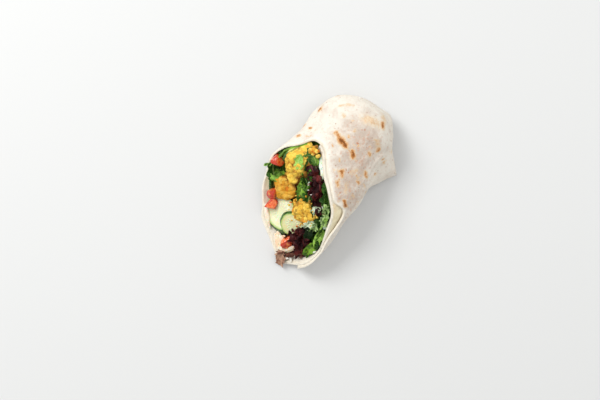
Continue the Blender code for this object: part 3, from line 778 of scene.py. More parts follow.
def tortilla_material(settings):
    """Flour tortilla: mottled cream, a dust of flour, specks, yellowed patches and browned, raised spots,
    with painted light on its inner wall and on the tucked strip by the cut.
    """
    m = Nodes("soft_flour_tortilla", 0.78, Specular_IOR_Level=0.25)
    dough, shade, flour = tuple(settings.dough), tuple(settings.shade), tuple(settings.flour)
    tanned = m.value("tanned")
    middling = m.noise(0.0046, 4, 0.62)
    fine = m.noise(0.0009, 3, 0.6)
    base = m.layer(dough, shade, m.scaled(tanned, 0.36, m.noise(0.014, 3)), 0.46, 0.88, 0.85)
    blotch = m.ramp(m.noise(0.0050, 3, 0.6, distortion=0.6), 0.46, 0.64)
    base = m.mix(m.times(blotch, m.scaled(tanned, 0.38, 0.14)), base, shade)
    base = m.layer(base, flour, middling, 0.44, 0.74, 0.45)
    base = m.layer(base, flour, fine, 0.50, 0.76, 0.2)
    warm = m.times(m.ramp(m.noise(0.0022, 3, 0.6), 0.52, 0.68), m.plus(tanned, 0.35))
    base = m.mix(m.times(warm, 0.62), base, WARM_BLOTCH)
    specks = m.times(m.ramp(m.cells(0.0046), 0.08, 0.20, 1.0, 0.0), m.ramp(m.noise(0.006, 2), 0.44, 0.56))
    base = m.mix(m.times(specks, 0.7), base, BRAN_SPECK)
    freckles = m.times(m.ramp(m.cells(0.0066), 0.07, 0.20, 1.0, 0.0), m.ramp(m.noise(0.009, 2), 0.47, 0.55))
    base = m.mix(m.times(freckles, m.scaled(tanned, 0.55, 0.25)), base, FRECKLE)

    spots = m.value("toast")
    ragged = m.plus(m.noise(0.0026, 5, 0.75, distortion=0.5), -0.5)
    toast = m.scaled(ragged, m.ramp(spots, 0.02, 0.35, 0.0, 1.5), spots)
    toast = m.scaled(m.plus(fine, -0.5), m.ramp(spots, 0.05, 0.4, 0.0, 1.3), toast)
    colour = m.layer(base, tuple(settings.yellowed), toast, 0.00, 0.70, 0.85)
    colour = m.layer(colour, tuple(settings.toasted), toast, 0.38, 1.22, 0.95)
    colour = m.layer(colour, tuple(settings.browned), toast, 0.95, 1.60, 0.90)
    # Painted light: the inner wall is lifted towards cream, past its own paler colour, to stand for light in
    # its shade.
    colour = m.mix(m.times(m.value("inside"), 0.7), colour, INNER_DOUGH_AND_PAINTED_LIGHT)
    crumb = m.layer(CUT_PALE, CUT_SHADED, m.noise(0.0011, 3, 0.7), 0.42, 0.62)
    colour = m.mix(m.times(m.value("cut"), 0.75), colour, crumb)
    # The tucked strip: its own pale yellow, plus painted light that lifts it out of the outer turn's shade.
    colour = m.mix(m.times(m.value("tucked"), 0.90), colour, TUCKED_DOUGH_AND_PAINTED_LIGHT)
    pale = m.times(m.ramp(m.value("from_cut"), 0.02, 0.40, 0.6, 0.0), m.ramp(toast, 0.05, 0.3, 1.0, 0.2))
    colour = m.mix(pale, colour, RIM_DOUGH)
    height = m.plus(m.times(middling, 0.7), m.times(fine, 0.3))
    pores = m.ramp(m.noise(0.0006, 2, 0.6), 0.4, 0.7)
    return m.finish(colour, m.ramp(toast, 0.5, 1.2, 0.80, 0.55), ((height, 0.0014), (pores, 0.0002)))


# ---------------------------------------------------------------------------------------------- leaves

LEAF_ROWS = 60
LEAF_COLUMNS = 26
BLADE_TAPER = 0.70
BLADE_ROUNDNESS = 0.7
BLADE_START = 0.08
RUFFLE_SKEW = 1.9
LEAF_ROLL = 0.5
ROLL_HALF_TURNS = 2.4
LEAF_CURL = 1.8
FRILL = (0.7, 0.6, 1.0)  # how far the margin's finer wave swings along, across and up, in mm
FRILL_SKEW = 1.2
FRILL_RATE_ACROSS = 1.6
FINEST_FRILL = 0.25
FINEST_FRILL_RATE = 2.3
MARGIN_THINNING = 0.5
VEINS = 6.0  # side veins along a leaf
VEIN_SLANT = -2.1  # how far each runs on towards the tip by the margin, in gaps between veins
PUCKER = 0.30
MIDRIB_DEPTH = 0.3
MIDRIB_NARROWNESS = 9
LEAF_LUMP_SIZE = 0.011
LEAF_CLEAR = 0.0006
# Each leaf: place, heading, lean from lying flat, length, width, ruffle height, ruffles, frills and tone.
# A tone above 1 paints a leaf near black as the shade of a hollow. The higher tones, given to leaves lying
# low, are partly painted shade. A tone below 0 pales a leaf, partly as painted highlight.
GREEN_LEAVES = (
    ((15.5, 33.0, -2.5), 92, 34, 24, 13, 3.6, 2.2, 5, 1.00),
    ((20.5, 27.0, -5.0), 95, 60, 22, 9, 3.6, 3.0, 6, 1.20),
    ((18.8, 33.5, 0.4), 110, 34, 12, 6, 3.0, 2.0, 4, 0.40),
    ((11.5, 28.0, 1.4), 64, 22, 15, 7, 2.4, 1.6, 4, 0.20),
    ((15.0, 24.0, 0.0), 110, 44, 20, 11, 3.0, 2.0, 4, 0.95),
    ((11.5, 37.5, 0.0), 60, 40, 18, 9, 2.4, 2.0, 4, 0.75),
    ((2.6, 9.6, 1.8), 76, 14, 15, 8, 1.2, 1.2, 3, 0.10),
    ((8.5, 12.5, -0.4), 112, 46, 18, 11, 3.2, 2.0, 4, 1.05),
    ((9.0, 5.0, -0.5), 62, 30, 19, 11, 2.8, 2.0, 4, 0.70),
    ((2.5, 4.0, -1.5), 60, 30, 20, 12, 2.6, 2.0, 4, 0.95),
    ((25.5, 1.0, -0.6), 88, 32, 26, 7, 1.8, 1.6, 4, 0.70),
    ((22.5, -13.0, 1.2), 80, 24, 20, 6, 3.2, 1.8, 5, -0.30),
    ((14.0, -8.3, 1.8), 24, 16, 10, 5, 1.0, 0.8, 2, -0.60),
    ((5.6, -20.8, 2.2), 16, 12, 15, 6, 1.4, 0.8, 2, -0.55),
    ((20.0, -19.0, 0.6), 110, 30, 10, 4, 0.8, 0.8, 1, -0.45),
    ((15.0, -15.0, -1.5), 100, 50, 24, 14, 3.2, 2.4, 5, 1.20),
    ((22.5, -6.0, -3.5), 84, 66, 34, 14, 2.8, 2.8, 6, 1.15),
    ((12.0, -22.8, 1.4), 40, 18, 15, 6, 2.8, 1.5, 3, -0.30),
    ((18.8, -25.0, 0.8), 66, 24, 20, 6, 3.6, 1.8, 4, -0.20),
    ((12.8, -33.5, 2.0), 62, 34, 20, 7, 1.4, 0.8, 1, -0.18),
    ((3.8, -28.6, 2.4), 66, 10, 11, 7, 0.6, 0.8, 1, 1.40),
    ((4.6, -42.0, 1.0), 34, 14, 15, 8, 1.2, 0.8, 1, 0.05),
    ((15.0, -32.0, -2.0), 74, 54, 26, 12, 3.6, 2.4, 5, 1.20),
    ((3.0, -29.5, -6.0), 76, 60, 20, 12, 2.6, 2.0, 4, 1.20),
    ((12.0, -40.5, -1.5), 60, 40, 18, 10, 2.4, 1.8, 4, 1.05),
    ((3.0, -43.5, -1.0), 36, 40, 20, 11, 2.2, 2.0, 4, 0.55),
    ((-6.5, 46.5, 1.4), 38, 78, 32, 4, 0.3, 1.0, 1, 0.15),
    ((-9.0, 47.5, -5.0), 34, 66, 30, 9, 1.2, 2.0, 4, 0.90),
    ((15.0, 41.0, 0.5), 30, 30, 14, 9, 2.4, 1.8, 4, 0.80),
    ((-18.5, 25.0, 0.4), 12, 26, 10, 5, 1.2, 1.4, 3, 0.25),
    ((-27.5, 24.0, -2.5), 80, 60, 26, 12, 2.0, 2.0, 4, 0.95),
)
RED_LEAVES_UPPER = (
    ((17.0, 19.0, 0.2), 100, 28, 24, 12, 3.0, 2.2, 5, 0.55),
    ((19.5, 8.0, -0.6), 86, 48, 32, 14, 3.0, 2.6, 6, 0.70),
    ((15.5, 5.0, -1.6), 78, 68, 24, 12, 2.8, 2.2, 5, 0.90),
    ((17.5, 13.0, 0.8), 62, 22, 19, 11, 2.8, 2.0, 5, 0.30),
    ((17.0, -1.0, 0.0), 94, 34, 24, 10, 2.6, 2.2, 5, 0.45),
)
RED_LEAVES_LOWER = (
    ((-9.0, -31.5, -0.2), 20, 26, 24, 15, 3.0, 2.4, 5, 0.55),
    ((-6.5, -40.0, 0.0), 68, 40, 24, 15, 3.0, 2.4, 5, 0.80),
    ((-15.0, -46.5, -2.5), 8, 60, 28, 11, 2.0, 2.2, 5, 0.90),
    ((-11.5, -34.5, 1.0), 46, 26, 17, 11, 2.6, 2.0, 4, 0.25),
    ((-5.0, -33.0, -0.2), 96, 50, 18, 9, 2.8, 2.2, 5, 0.60),
)


def leaf_shape(facts, thickness, seed, inside=True):
    """A ruffled leaf as a closed thin sheet.

    s runs along it and t across it. The blade narrows to its ends, curls up as t squared, waves as
    sin(2 pi ruffles s) t squared, puckers between slanting veins, and at its margin a finer wave of t cubed
    swings it up, along and outwards, which makes the frill.
    """
    place, heading, lean, length_along, width, ruffle, ruffles, frills, tone = facts
    s, t = np.meshgrid(np.linspace(0, 1, LEAF_ROWS), np.linspace(-1, 1, LEAF_COLUMNS), indexing="ij")
    along = BLADE_START + (1 - 2 * BLADE_START) * s
    blade = 1 - BLADE_TAPER * (1 - np.sin(math.pi * along) ** BLADE_ROUNDNESS)
    wave = np.sin(2 * math.pi * ruffles * s + RUFFLE_SKEW * t + place[0])
    roll = LEAF_ROLL * np.cos(ROLL_HALF_TURNS * math.pi * s + place[1])
    margin = np.abs(t) ** 3
    swing = 2 * math.pi * frills * s + seed + FRILL_SKEW * t
    x = (s - 0.5) * length_along + FRILL[0] * margin * np.cos(swing)
    y = t * blade * width / 2 + FRILL[1] * np.sign(t) * margin * np.sin(FRILL_RATE_ACROSS * swing)
    z = ruffle * (wave * t * t + roll) + LEAF_CURL * t * t + FRILL[2] * margin * np.sin(swing)
    z = z + FINEST_FRILL * margin * np.sin(FINEST_FRILL_RATE * swing)
    z = z + PUCKER * (1 - margin) * np.abs(np.sin(math.pi * (VEINS * s + VEIN_SLANT * np.abs(t))))
    z = z - MIDRIB_DEPTH * np.exp(-(MIDRIB_NARROWNESS * t) ** 2)
    points = np.stack([x, y, z], -1)
    points = points + np.stack([rough(points * MM + seed, LEAF_LUMP_SIZE, n, 2) for n in (1, 2, 3)], -1)
    points = on_face(placed(points, (lean, 0, heading), place))
    if inside:
        points = kept_inside(points, LEAF_CLEAR)
    points[..., 2] = np.maximum(points[..., 2], thickness)
    points, faces = outward(*thin_sheet(points, thickness * (1 - MARGIN_THINNING * margin)))
    values = {"along": s.ravel(), "across": t.ravel(), "tone": np.full(s.size, tone)}
    return points, faces, {key: np.tile(value, 2) for key, value in values.items()}


# Pale vein and pale leaf greens: partly the leaf's own paler ribs, partly painted highlight in place of
# glints.
GREEN_VEIN_AND_HIGHLIGHT = (0.50, 0.66, 0.20)
GREEN_PALE_AND_HIGHLIGHT = (0.70, 0.80, 0.56)
RED_VEIN = (0.26, 0.05, 0.05)
RED_PALE = (0.45, 0.20, 0.18)
# Light, deep, vein and pale colours of the scraps of leaf.
BROWN_LEAF = ((0.60, 0.36, 0.23), (0.12, 0.035, 0.022), (0.56, 0.38, 0.26), (0.72, 0.52, 0.38))
HERB_LEAF = ((0.42, 0.66, 0.12), (0.16, 0.36, 0.04), (0.66, 0.80, 0.36), (0.80, 0.88, 0.62))
PURPLE_FLUSH = (0.21, 0.030, 0.024)
# Painted shade: near black, for the leaves that stand for dark hollows.
LEAF_HOLLOW_SHADE = (0.003, 0.010, 0.002)


def leaf_material(name, light, deep, vein_and_highlight, pale, roughness, purple=0.0):
    """A leaf: deep between its veins and lighter at them, with a moist gloss. On green leaves the lighter
    veins and the pale tone are partly painted highlight.

    Its tone sets its colour: below 0 it is pale, partly as painted highlight; from 0 to 1 it darkens to a
    deeper green, partly as painted shade on leaves lying low; above 1 it is painted near black as the shade
    of a hollow.
    """
    m = Nodes(name, roughness, Specular_IOR_Level=0.14)
    across = m.size_of(m.value("across"))
    tone = m.value("tone")
    slant = m.plus(m.times(m.value("along"), VEINS), m.times(across, VEIN_SLANT))
    ribs = m.size_of(m.math("SINE", m.times(slant, math.pi)))
    veins = m.math("MAXIMUM", m.ramp(ribs, 0.03, 0.16, 0.6, 0.0), m.ramp(across, 0.03, 0.14, 1.0, 0.0))
    veins = m.math("MAXIMUM", veins, m.ramp(m.cells(0.0019, "DISTANCE_TO_EDGE"), 0.02, 0.09, 0.22, 0.0))
    colour = m.layer(light, deep, m.plus(m.noise(0.009, 2), m.times(tone, 0.55)), 0.36, 0.90)
    colour = m.layer(colour, pale, tone, -0.1, -0.6)
    colour = m.layer(colour, deep, m.noise(0.0034, 3, 0.6), 0.48, 0.64, 0.75)
    if purple:
        colour = m.layer(colour, PURPLE_FLUSH, m.noise(0.008, 2), 0.50, 0.66, purple)
    # The lighter vein colour, which on green leaves is partly painted highlight.
    colour = m.mix(m.times(veins, 0.55), colour, vein_and_highlight)
    # Painted shade: tones above 1 turn the leaf near black, as a hollow in shadow.
    colour = m.layer(colour, LEAF_HOLLOW_SHADE, tone, 1.0, 1.4, 0.9)
    crinkle = m.noise(0.0022, 3, 0.55)
    gloss = m.ramp(crinkle, 0.3, 0.7, roughness - 0.1, roughness + 0.12)
    return m.finish(colour, gloss, ((veins, 0.0003), (crinkle, 0.0006)))


def leaves(name, table, material, slot, thickness, seed, *nodes, inside=True):
    """A group of leaves as one object."""
    parts = [leaf_shape(facts, thickness, seed + i, inside) for i, facts in enumerate(table)]
    piece(name, *joined(parts), material, slot, *nodes)


BED_COLUMNS = 120
BED_ROWS = 44
BED_TOP_ROWS = 30
BED_CAP_ROWS = 12
BED_SET_BACK = 0.0085
BED_CLEAR = 0.0008
FLAKE_SIZE = 0.0065
FLAKE_SQUASH = np.array([1.0, 1.0, 0.4])
FLAKE_HEIGHT = 0.0030
FLAKES_SINK = 0.0014
# Painted shade: the bed's near black stands for the shade between the leaves.
BED_PAINTED_SHADE = (0.010, 0.030, 0.004)
BED_FOLD = (0.075, 0.19, 0.018)
BED_EDGE = (0.22, 0.40, 0.06)


def bed_shape():
    """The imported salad: the roll's inner wall from behind the cut to the folded end, under a hollowed top.

    The top shrinks the wall's first ring towards its middle and is lifted by noise in layered flakes.
    """
    phi = np.linspace(0, 2 * math.pi, BED_COLUMNS, endpoint=False)
    inset = SHEET + BED_CLEAR
    start = cut_x(phi, inset) + BED_SET_BACK
    steps = [(start + (CAP_X - start) * share, 1.0) for share in np.linspace(0, 1, BED_ROWS)]
    steps.extend(end_ring(j / BED_CAP_ROWS, inset) for j in range(1, BED_CAP_ROWS + 1))
    wall = np.array([np.stack([x + 0 * phi, *section(phi, x, shrink, inset)], -1) for x, shrink in steps])
    middle = wall[0].mean(0)
    shares = np.linspace(0, 1, BED_TOP_ROWS)[:-1, None, None]
    top = middle + (wall[0] - middle) * shares
    flakes = rough(top * FLAKE_SQUASH, FLAKE_SIZE, 21, 4)
    lift = (FLAKE_HEIGHT * flakes - FLAKES_SINK) * (1 - shares[..., 0] ** 6)
    return round_solid(np.concatenate([top + face_axes()[3] * lift[..., None], wall]), {})


def bed_material():
    """Packed salad seen between the leaves, painted near black as the shade in the gaps, with dark green
    folds and lighter edges.
    """
    m = Nodes("packed_salad", 0.5, Specular_IOR_Level=0.12)
    folds_seen = m.noise(0.004, 4, 0.6, distortion=1.2)
    colour = m.layer(BED_PAINTED_SHADE, BED_FOLD, folds_seen, 0.35, 0.62)
    colour = m.layer(colour, BED_EDGE, m.noise(0.0016, 3), 0.56, 0.72, 0.6)
    return m.finish(colour, None, ((folds_seen, 0.0022), (m.noise(0.0012, 2), 0.0005)))


# ---------------------------------------------------------------------------------------------- meatballs

BALL_ROWS = 130
BALL_COLUMNS = 170
# Each ball: place, heading in degrees, half sizes, how far its sliced top stands over the cut, and its bend.
BALLS = (
    ((0.9, 31.8, -2.6), -24, (11.2, 19.2, 16.0), 5.0, 2.0),
    ((-14.8, 11.2, -6.0), 0, (12.6, 11.8, 14.0), 1.4, 0.0),
    ((0.4, -9.6, -6.0), 10, (12.4, 13.4, 14.0), 3.4, 0.0),
)
LOOSENESS = (1.0, 0.85, 1.05)  # how far each ball has fallen into crumbs
GOLDENNESS = (0.50, -0.40, 0.34)  # yellower above 0, browner below
TOP_BULGE = 0.30
TOP_RISE = 0.75  # how much of a crumb's lift on the sliced top goes straight up
# Crumb sizes in metres: lobes, coarse and middling crumbs, the finest grain, and the ball's slow unevenness.
LOBE, COARSE_CRUMB, MIDDLING_CRUMB, FINE_CRUMB, UNEVENNESS = 0.0085, 0.0029, 0.0016, 0.0007, 0.010
LOBE_HEIGHT = 3.4
UNEVEN_HEIGHT = 1.2
CRUMB_HEIGHTS = (1.3, 0.6, 0.22)  # coarse, middling and fine, in parts of the crumb's height
DEPTH_SHARES = (0.5, 0.3, 0.2)  # of lobes, coarse and middling crumbs in the shade of the hollows
BALL_SWELL = 0.09
SWELL_SIZE = 0.8  # in half sizes of the piece
CRUST_FROM = 0.6
CRUST_OVER = 2.6
# The side of a ball turned from the light, where the dark crust shows most: partly the real crust, partly
# painted shade.
SHADED_CRUST_SIDE = (0.75, -0.65)  # the side of a ball whose crust shows, right and up
CRUST_SHOWS = 0.35
CRUST_GAIN = 1.1
FOOD_CLEAR = 0.0005
BALL_RED_BIT = (0.62, 0.13, 0.012)
BALL_DARK_BIT = (0.20, 0.06, 0.012)
BALL_BROWNED = (0.50, 0.17, 0.012)
BALL_BRIGHT = (0.93, 0.62, 0.10)
BALL_HERB = (0.14, 0.20, 0.02)
BALL_GOLDEN = (0.95, 0.72, 0.10)
BALL_BROWNER = (0.50, 0.19, 0.006)
# Painted shade for the low places between crumbs.
BALL_HOLLOW_SHADE = (0.20, 0.055, 0.005)
CRUST_DARK = (0.16, 0.045, 0.010)
CRUST_LIGHT = (0.42, 0.15, 0.02)


def ball_shape(number, crumb):
    """A fried ball sliced through: an uneven ellipsoid, its top pressed to the cut, all in round crumbs.

    Each point moves out along its direction by crumbs of three sizes, each 1 - distance to its nearest one.
    """
    place, heading, half, top, bend = BALLS[number]
    way = sphere_grid(BALL_ROWS, BALL_COLUMNS)
    swell = 1 + BALL_SWELL * rough(way + 7 * number, SWELL_SIZE, number, 2)
    spot = way * np.array(half) * swell[..., None]
    flat = top - place[2]
    over = spot[..., 2] > flat
    spot[..., 2] = np.where(over, flat + TOP_BULGE * (spot[..., 2] - flat), spot[..., 2])
    seeded = spot * MM + number
    lobes, _ = clods(seeded, LOBE, 20 + number)
    coarse, kind = clods(seeded, COARSE_CRUMB, 30 + number)
    middle, _ = clods(seeded, MIDDLING_CRUMB, 40 + number)
    crumbs = CRUMB_HEIGHTS[0] * (coarse - 0.45) + CRUMB_HEIGHTS[1] * (middle - 0.4)
    crumbs = crumbs + CRUMB_HEIGHTS[2] * grain(seeded, FINE_CRUMB, 50 + number)
    lift = crumb * LOOSENESS[number] * crumbs / MM + LOBE_HEIGHT * (lobes - 0.5)
    lift = lift + UNEVEN_HEIGHT * rough(spot * MM, UNEVENNESS, 60 + number)
    up = np.array([0.0, 0.0, 1.0])
    direction = np.where(over[..., None], TOP_RISE * up + (1 - TOP_RISE) * way, way)
    spot = spot + direction * lift[..., None]
    spot[..., 0] += bend * np.clip(way[..., 1], 0, 1) ** 2
    # Painted shade: the dark crust is laid on far more strongly on the side turned from the light.
    aside = turned(way, heading, "Z")
    facing = SHADED_CRUST_SIDE[0] * aside[..., 0] + SHADED_CRUST_SIDE[1] * aside[..., 1]
    shows = np.clip(CRUST_SHOWS + CRUST_GAIN * facing, 0, 1)
    values = {
        "crust": smooth((flat + CRUST_FROM - spot[..., 2]) / CRUST_OVER) * shows,
        "bit": kind * 0.5 + 0.5,
        "height": sum(share * part for share, part in zip(DEPTH_SHARES, (lobes, coarse, middle))),
        "golden": np.full(lift.shape, GOLDENNESS[number]),
    }
    return round_solid(kept_inside(on_face(placed(spot, (0, 0, heading), place)), FOOD_CLEAR), values)


def ball_material(settings):
    """Fried vegetable ball: golden crumb in separately tinted bits, painted shade in its hollows, and a
    brown crust shown most, as painted shade, on the side turned from the light.
    """
    m = Nodes("fried_vegetable_crumb", 0.66, Specular_IOR_Level=0.12)
    bit = m.value("bit")
    golden = m.value("golden")
    colour = m.layer(tuple(settings.crumb_light), tuple(settings.crumb), bit, 0.25, 0.60)
    colour = m.layer(colour, BALL_RED_BIT, bit, 0.76, 0.88, 0.85)
    colour = m.layer(colour, BALL_DARK_BIT, bit, 0.10, 0.05, 0.9)
    colour = m.layer(colour, BALL_BROWNED, m.noise(0.0022, 4, 0.65), 0.50, 0.68, 0.65)
    colour = m.layer(colour, BALL_BRIGHT, m.noise(0.0011, 3), 0.55, 0.72, 0.5)
    colour = m.layer(colour, BALL_HERB, m.noise(0.0016, 2, distortion=0.8), 0.60, 0.70, 0.75)
    colour = m.layer(colour, BALL_GOLDEN, golden, 0.0, 1.0, 0.9)
    colour = m.layer(colour, BALL_BROWNER, golden, 0.0, -1.0, 0.9)
    # Painted shade: the low places between crumbs are darkened.
    colour = m.layer(colour, BALL_HOLLOW_SHADE, m.value("height"), 0.54, 0.22, 0.85)
    # Crust browns, also serving as painted shade on the ball's side turned from the light.
    crust = m.mix(m.noise(0.002, 3), CRUST_DARK, CRUST_LIGHT)
    colour = m.mix(m.times(m.value("crust"), 0.92), colour, crust)
    grain_seen = m.noise(0.0007, 3, 0.7)
    return m.finish(colour, m.ramp(grain_seen, 0.35, 0.7, 0.45, 0.75), ((grain_seen, 0.0004),))


# ---------------------------------------------------------------------------------------------- cucumber

SLICE_COLUMNS = 128
SLICE_RINGS = 34
RIM_RINGS = 7
RING_CROWDING = 0.8  # below 1, rings lie closer together at the rim
FACE_SHARE = 0.965  # how much of a slice's radius is flat face
DISH = 0.16
BOW = 0.35
OUTLINE_WAVES = ((0.25, 3, 1), (0.12, 7, 2))  # height in mm, how many round, and the shift for each slice
KNIFE_WAVE = 0.14
KNIFE_WAVE_SIZE = 0.004
KNIFE_WAVE_REACH = 0.96  # in radii, as the seeds' reach
SEEDS_REACH = 0.9
SEED_RING = 0.40  # where the seeds lie, in radii
SEED_RING_WIDTH = 0.13
SEED_HEIGHT = 0.22
SEED_COUNT = 7
RIPENESS = (0.0, 0.75, 0.2, 0.2)  # how far each slice's flesh has yellowed
FLESH_PALE = (0.88, 0.87, 0.64)
FLESH = (0.80, 0.81, 0.50)
FLESH_RIPE = (0.76, 0.68, 0.26)
FLESH_WET = (0.70, 0.77, 0.46)
FLESH_LINE = (0.88, 0.90, 0.70)
SEED = (0.90, 0.88, 0.62)
FIBRE = (0.56, 0.68, 0.30)
UNDER_SKIN = (0.36, 0.55, 0.10)
SKIN_DARK = (0.010, 0.060, 0.010)
SKIN_LIGHT = (0.045, 0.15, 0.018)
# Each slice: place, turn about X, Y and Z, radius, thickness and how far its edge leans, right and up.
SLICES = (
    ((-24.6, -12.4, -1.6), (-8, -4, 0), 16.2, 4.0, (-0.4, -2.2)),
    ((-13.0, -20.5, 1.0), (0, 20, -37), 11.0, 3.2, (-0.8, 0.0)),
    ((-35.5, 18.3, -10.5), (0, 121, -10), 12.5, 3.8, (0.0, 0.0)),
    ((-6.5, 43.4, -10.5), (0, 103, -51), 15.5, 3.4, (0.0, 0.0)),
)


def slice_shape(number):
    """A round slice: both faces a little dished, waved by the knife and pitted with seeds, the rim rounded.

    The profile runs from the middle of one face out, round the rim as a half circle and back to the other's.
    """
    place, turn, radius, thickness, slant = SLICES[number]
    share = np.linspace(0, 1, SLICE_RINGS) ** RING_CROWDING * FACE_SHARE
    bend = np.linspace(0, math.pi, RIM_RINGS + 2)[1:-1]
    r = np.concatenate([share, FACE_SHARE + (1 - FACE_SHARE) * np.sin(bend), share[::-1]])
    z = np.concatenate([np.full(SLICE_RINGS, 1.0), np.cos(bend), np.full(SLICE_RINGS, -1.0)])
    a = np.linspace(0, 2 * math.pi, SLICE_COLUMNS, endpoint=False)
    r, z, a = r[:, None] + 0 * a, z[:, None] + 0 * a, a[None, :] + 0 * r[:, None]
    dish = 1 - DISH + DISH * np.clip(r, 0, 1) ** 2
    size = radius + sum(wave * np.sin(count * a + shift * number) for wave, count, shift in OUTLINE_WAVES)
    x, y = r * size * np.cos(a), r * size * np.sin(a)
    flat = np.stack([x, y, 3.0 * np.sign(z)], -1)
    knife = KNIFE_WAVE * rough(flat * MM, KNIFE_WAVE_SIZE, number) * (r < KNIFE_WAVE_REACH)
    seeds = np.maximum(0, np.cos(2 * SEED_COUNT * a + 3 * z)) ** 2 * (r < SEEDS_REACH)
    seeds = seeds * np.exp(-((r - SEED_RING) / SEED_RING_WIDTH) ** 2)
    height = z * (thickness / 2 * dish + knife) + np.sign(z) * SEED_HEIGHT * seeds
    bow = BOW * r ** 2 * np.cos(2 * a + number)
    points = np.stack([x - slant[0] * z, y - slant[1] * z, height + bow], -1)
    values = {
        "right": r * np.cos(a),
        "up": r * np.sin(a),
        "skin": (np.abs(z) < 0.999).astype(float),
        "ripe": np.full_like(r, RIPENESS[number]),
    }
    return round_solid(kept_inside(on_face(placed(points, turn, place)), FOOD_CLEAR), values)


def slice_material():
    """Cucumber: dark skin, a green ring under it, pale wet flesh with a seed star and fine radial fibres."""
    m = Nodes("cucumber_flesh_and_skin", 0.22, Subsurface_Weight=0.25, Subsurface_Scale=0.002)
    right, up = m.value("right"), m.value("up")
    angle = m.math("ARCTAN2", up, right)
    wobble = m.times(m.plus(m.noise(0.003, 2), -0.5), 0.10)
    radius = m.plus(m.math("SQRT", m.plus(m.times(right, right), m.times(up, up))), wobble)
    colour = m.layer(FLESH_PALE, FLESH, m.noise(0.004, 3), 0.35, 0.7)
    colour = m.mix(m.times(m.value("ripe"), 0.8), colour, FLESH_RIPE)
    star = m.plus(radius, m.times(m.math("COSINE", m.times(angle, 3.0)), 0.06))
    colour = m.layer(colour, FLESH_WET, star, 0.60, 0.52, 0.45)
    colour = m.layer(colour, FLESH_LINE, m.size_of(m.plus(star, -0.57)), 0.03, 0.0, 0.45)
    spoke = m.size_of(m.math("SINE", m.times(angle, SEED_COUNT)))
    from_ring = m.size_of(m.plus(radius, -SEED_RING))
    seed = m.times(m.ramp(spoke, 0.55, 0.85), m.ramp(from_ring, SEED_RING_WIDTH, 0.08))
    colour = m.mix(m.times(seed, 0.7), colour, SEED)
    fibre = m.size_of(m.math("SINE", m.times(angle, 38.0)))
    colour = m.mix(m.times(fibre, m.ramp(radius, 0.62, 0.70, 0.0, 0.14)), colour, FIBRE)
    colour = m.layer(colour, UNDER_SKIN, radius, 0.80, 0.955, 0.85)
    peel = m.layer(SKIN_DARK, SKIN_LIGHT, m.noise(0.0022, 3), 0.35, 0.65)
    colour = m.mix(m.math("MAXIMUM", m.value("skin"), m.ramp(radius, 0.955, 0.985)), colour, peel)
    height = m.plus(m.noise(0.0012, 3), m.times(seed, 0.5))
    return m.finish(colour, m.ramp(m.noise(0.002, 2), 0.3, 0.7, 0.14, 0.34), ((height, 0.0004),))


# ---------------------------------------------------------------------------------------------- tomato

# Each piece: place, turn and half sizes.
TOMATOES = (
    ((-18.8, 34.8, 0.6), (15, 25, 30), (5.6, 5.4, 4.8)),
    ((-28.6, 6.8, 1.4), (20, -10, 12), (5.4, 5.0, 4.4)),
    ((-31.0, -3.0, 2.2), (-15, 20, 50), (5.0, 4.4, 4.2)),
    ((-20.6, -35.8, 1.5), (10, 30, -20), (5.4, 6.6, 4.6)),
)
SQUARENESS = 0.8
TOMATO_ROWS = 72
TOMATO_COLUMNS = 96
DIE_SIZE = 1.10  # before the cuts, in half sizes
DIE_SWELL = 0.20
KNIFE_CUTS = 6
CUT_DEPTHS = (0.62, 0.86)  # how far from the middle a plane may lie, in half sizes
CUT_SHARE = 0.92  # how far a point past a cut drops back onto it
CUT_EDGE = 0.4
DENT_SIZE = 0.0030
DENT_DEPTH = 0.12
DENT_FROM = 0.4
TOMATO_RED = (0.78, 0.075, 0.012)
TOMATO_ORANGE = (0.90, 0.24, 0.07)
TOMATO_WALL = (0.94, 0.48, 0.22)
TOMATO_SKIN = (0.50, 0.020, 0.006)
TOMATO_JUICE = (0.84, 0.33, 0.06)


def tomato_shape(number):
    """A die of tomato: an uneven ball with soft corners, flattened where a few random planes cut it.

    Each direction to the power SQUARENESS gives the soft corners. Past a plane, a point drops back onto it.
    """
    place, turn, half = TOMATOES[number]
    way = sphere_grid(TOMATO_ROWS, TOMATO_COLUMNS)
    square = np.sign(way) * np.abs(way) ** SQUARENESS
    swell = DIE_SIZE + DIE_SWELL * rough(way + 5 * number, SWELL_SIZE, 70 + number, 3)
    points = square * np.array(half) * swell[..., None]
    pick = np.random.default_rng(40 + number)
    cut = np.zeros(way.shape[:2])
    for _ in range(KNIFE_CUTS):
        normal = pick.normal(size=3)
        normal /= np.linalg.norm(normal)
        past = points @ normal - pick.uniform(*CUT_DEPTHS) * np.mean(half)
        points = points - CUT_SHARE * np.maximum(past, 0)[..., None] * normal
        cut = np.maximum(cut, smooth(past / CUT_EDGE))
    dents, _ = clods(points * MM + number, DENT_SIZE, 80 + number)
    points = points * (1 - DENT_DEPTH * cut * np.maximum(0, dents - DENT_FROM))[..., None]
    return round_solid(kept_inside(on_face(placed(points, turn, place)), FOOD_CLEAR), {"skin": 1 - cut})


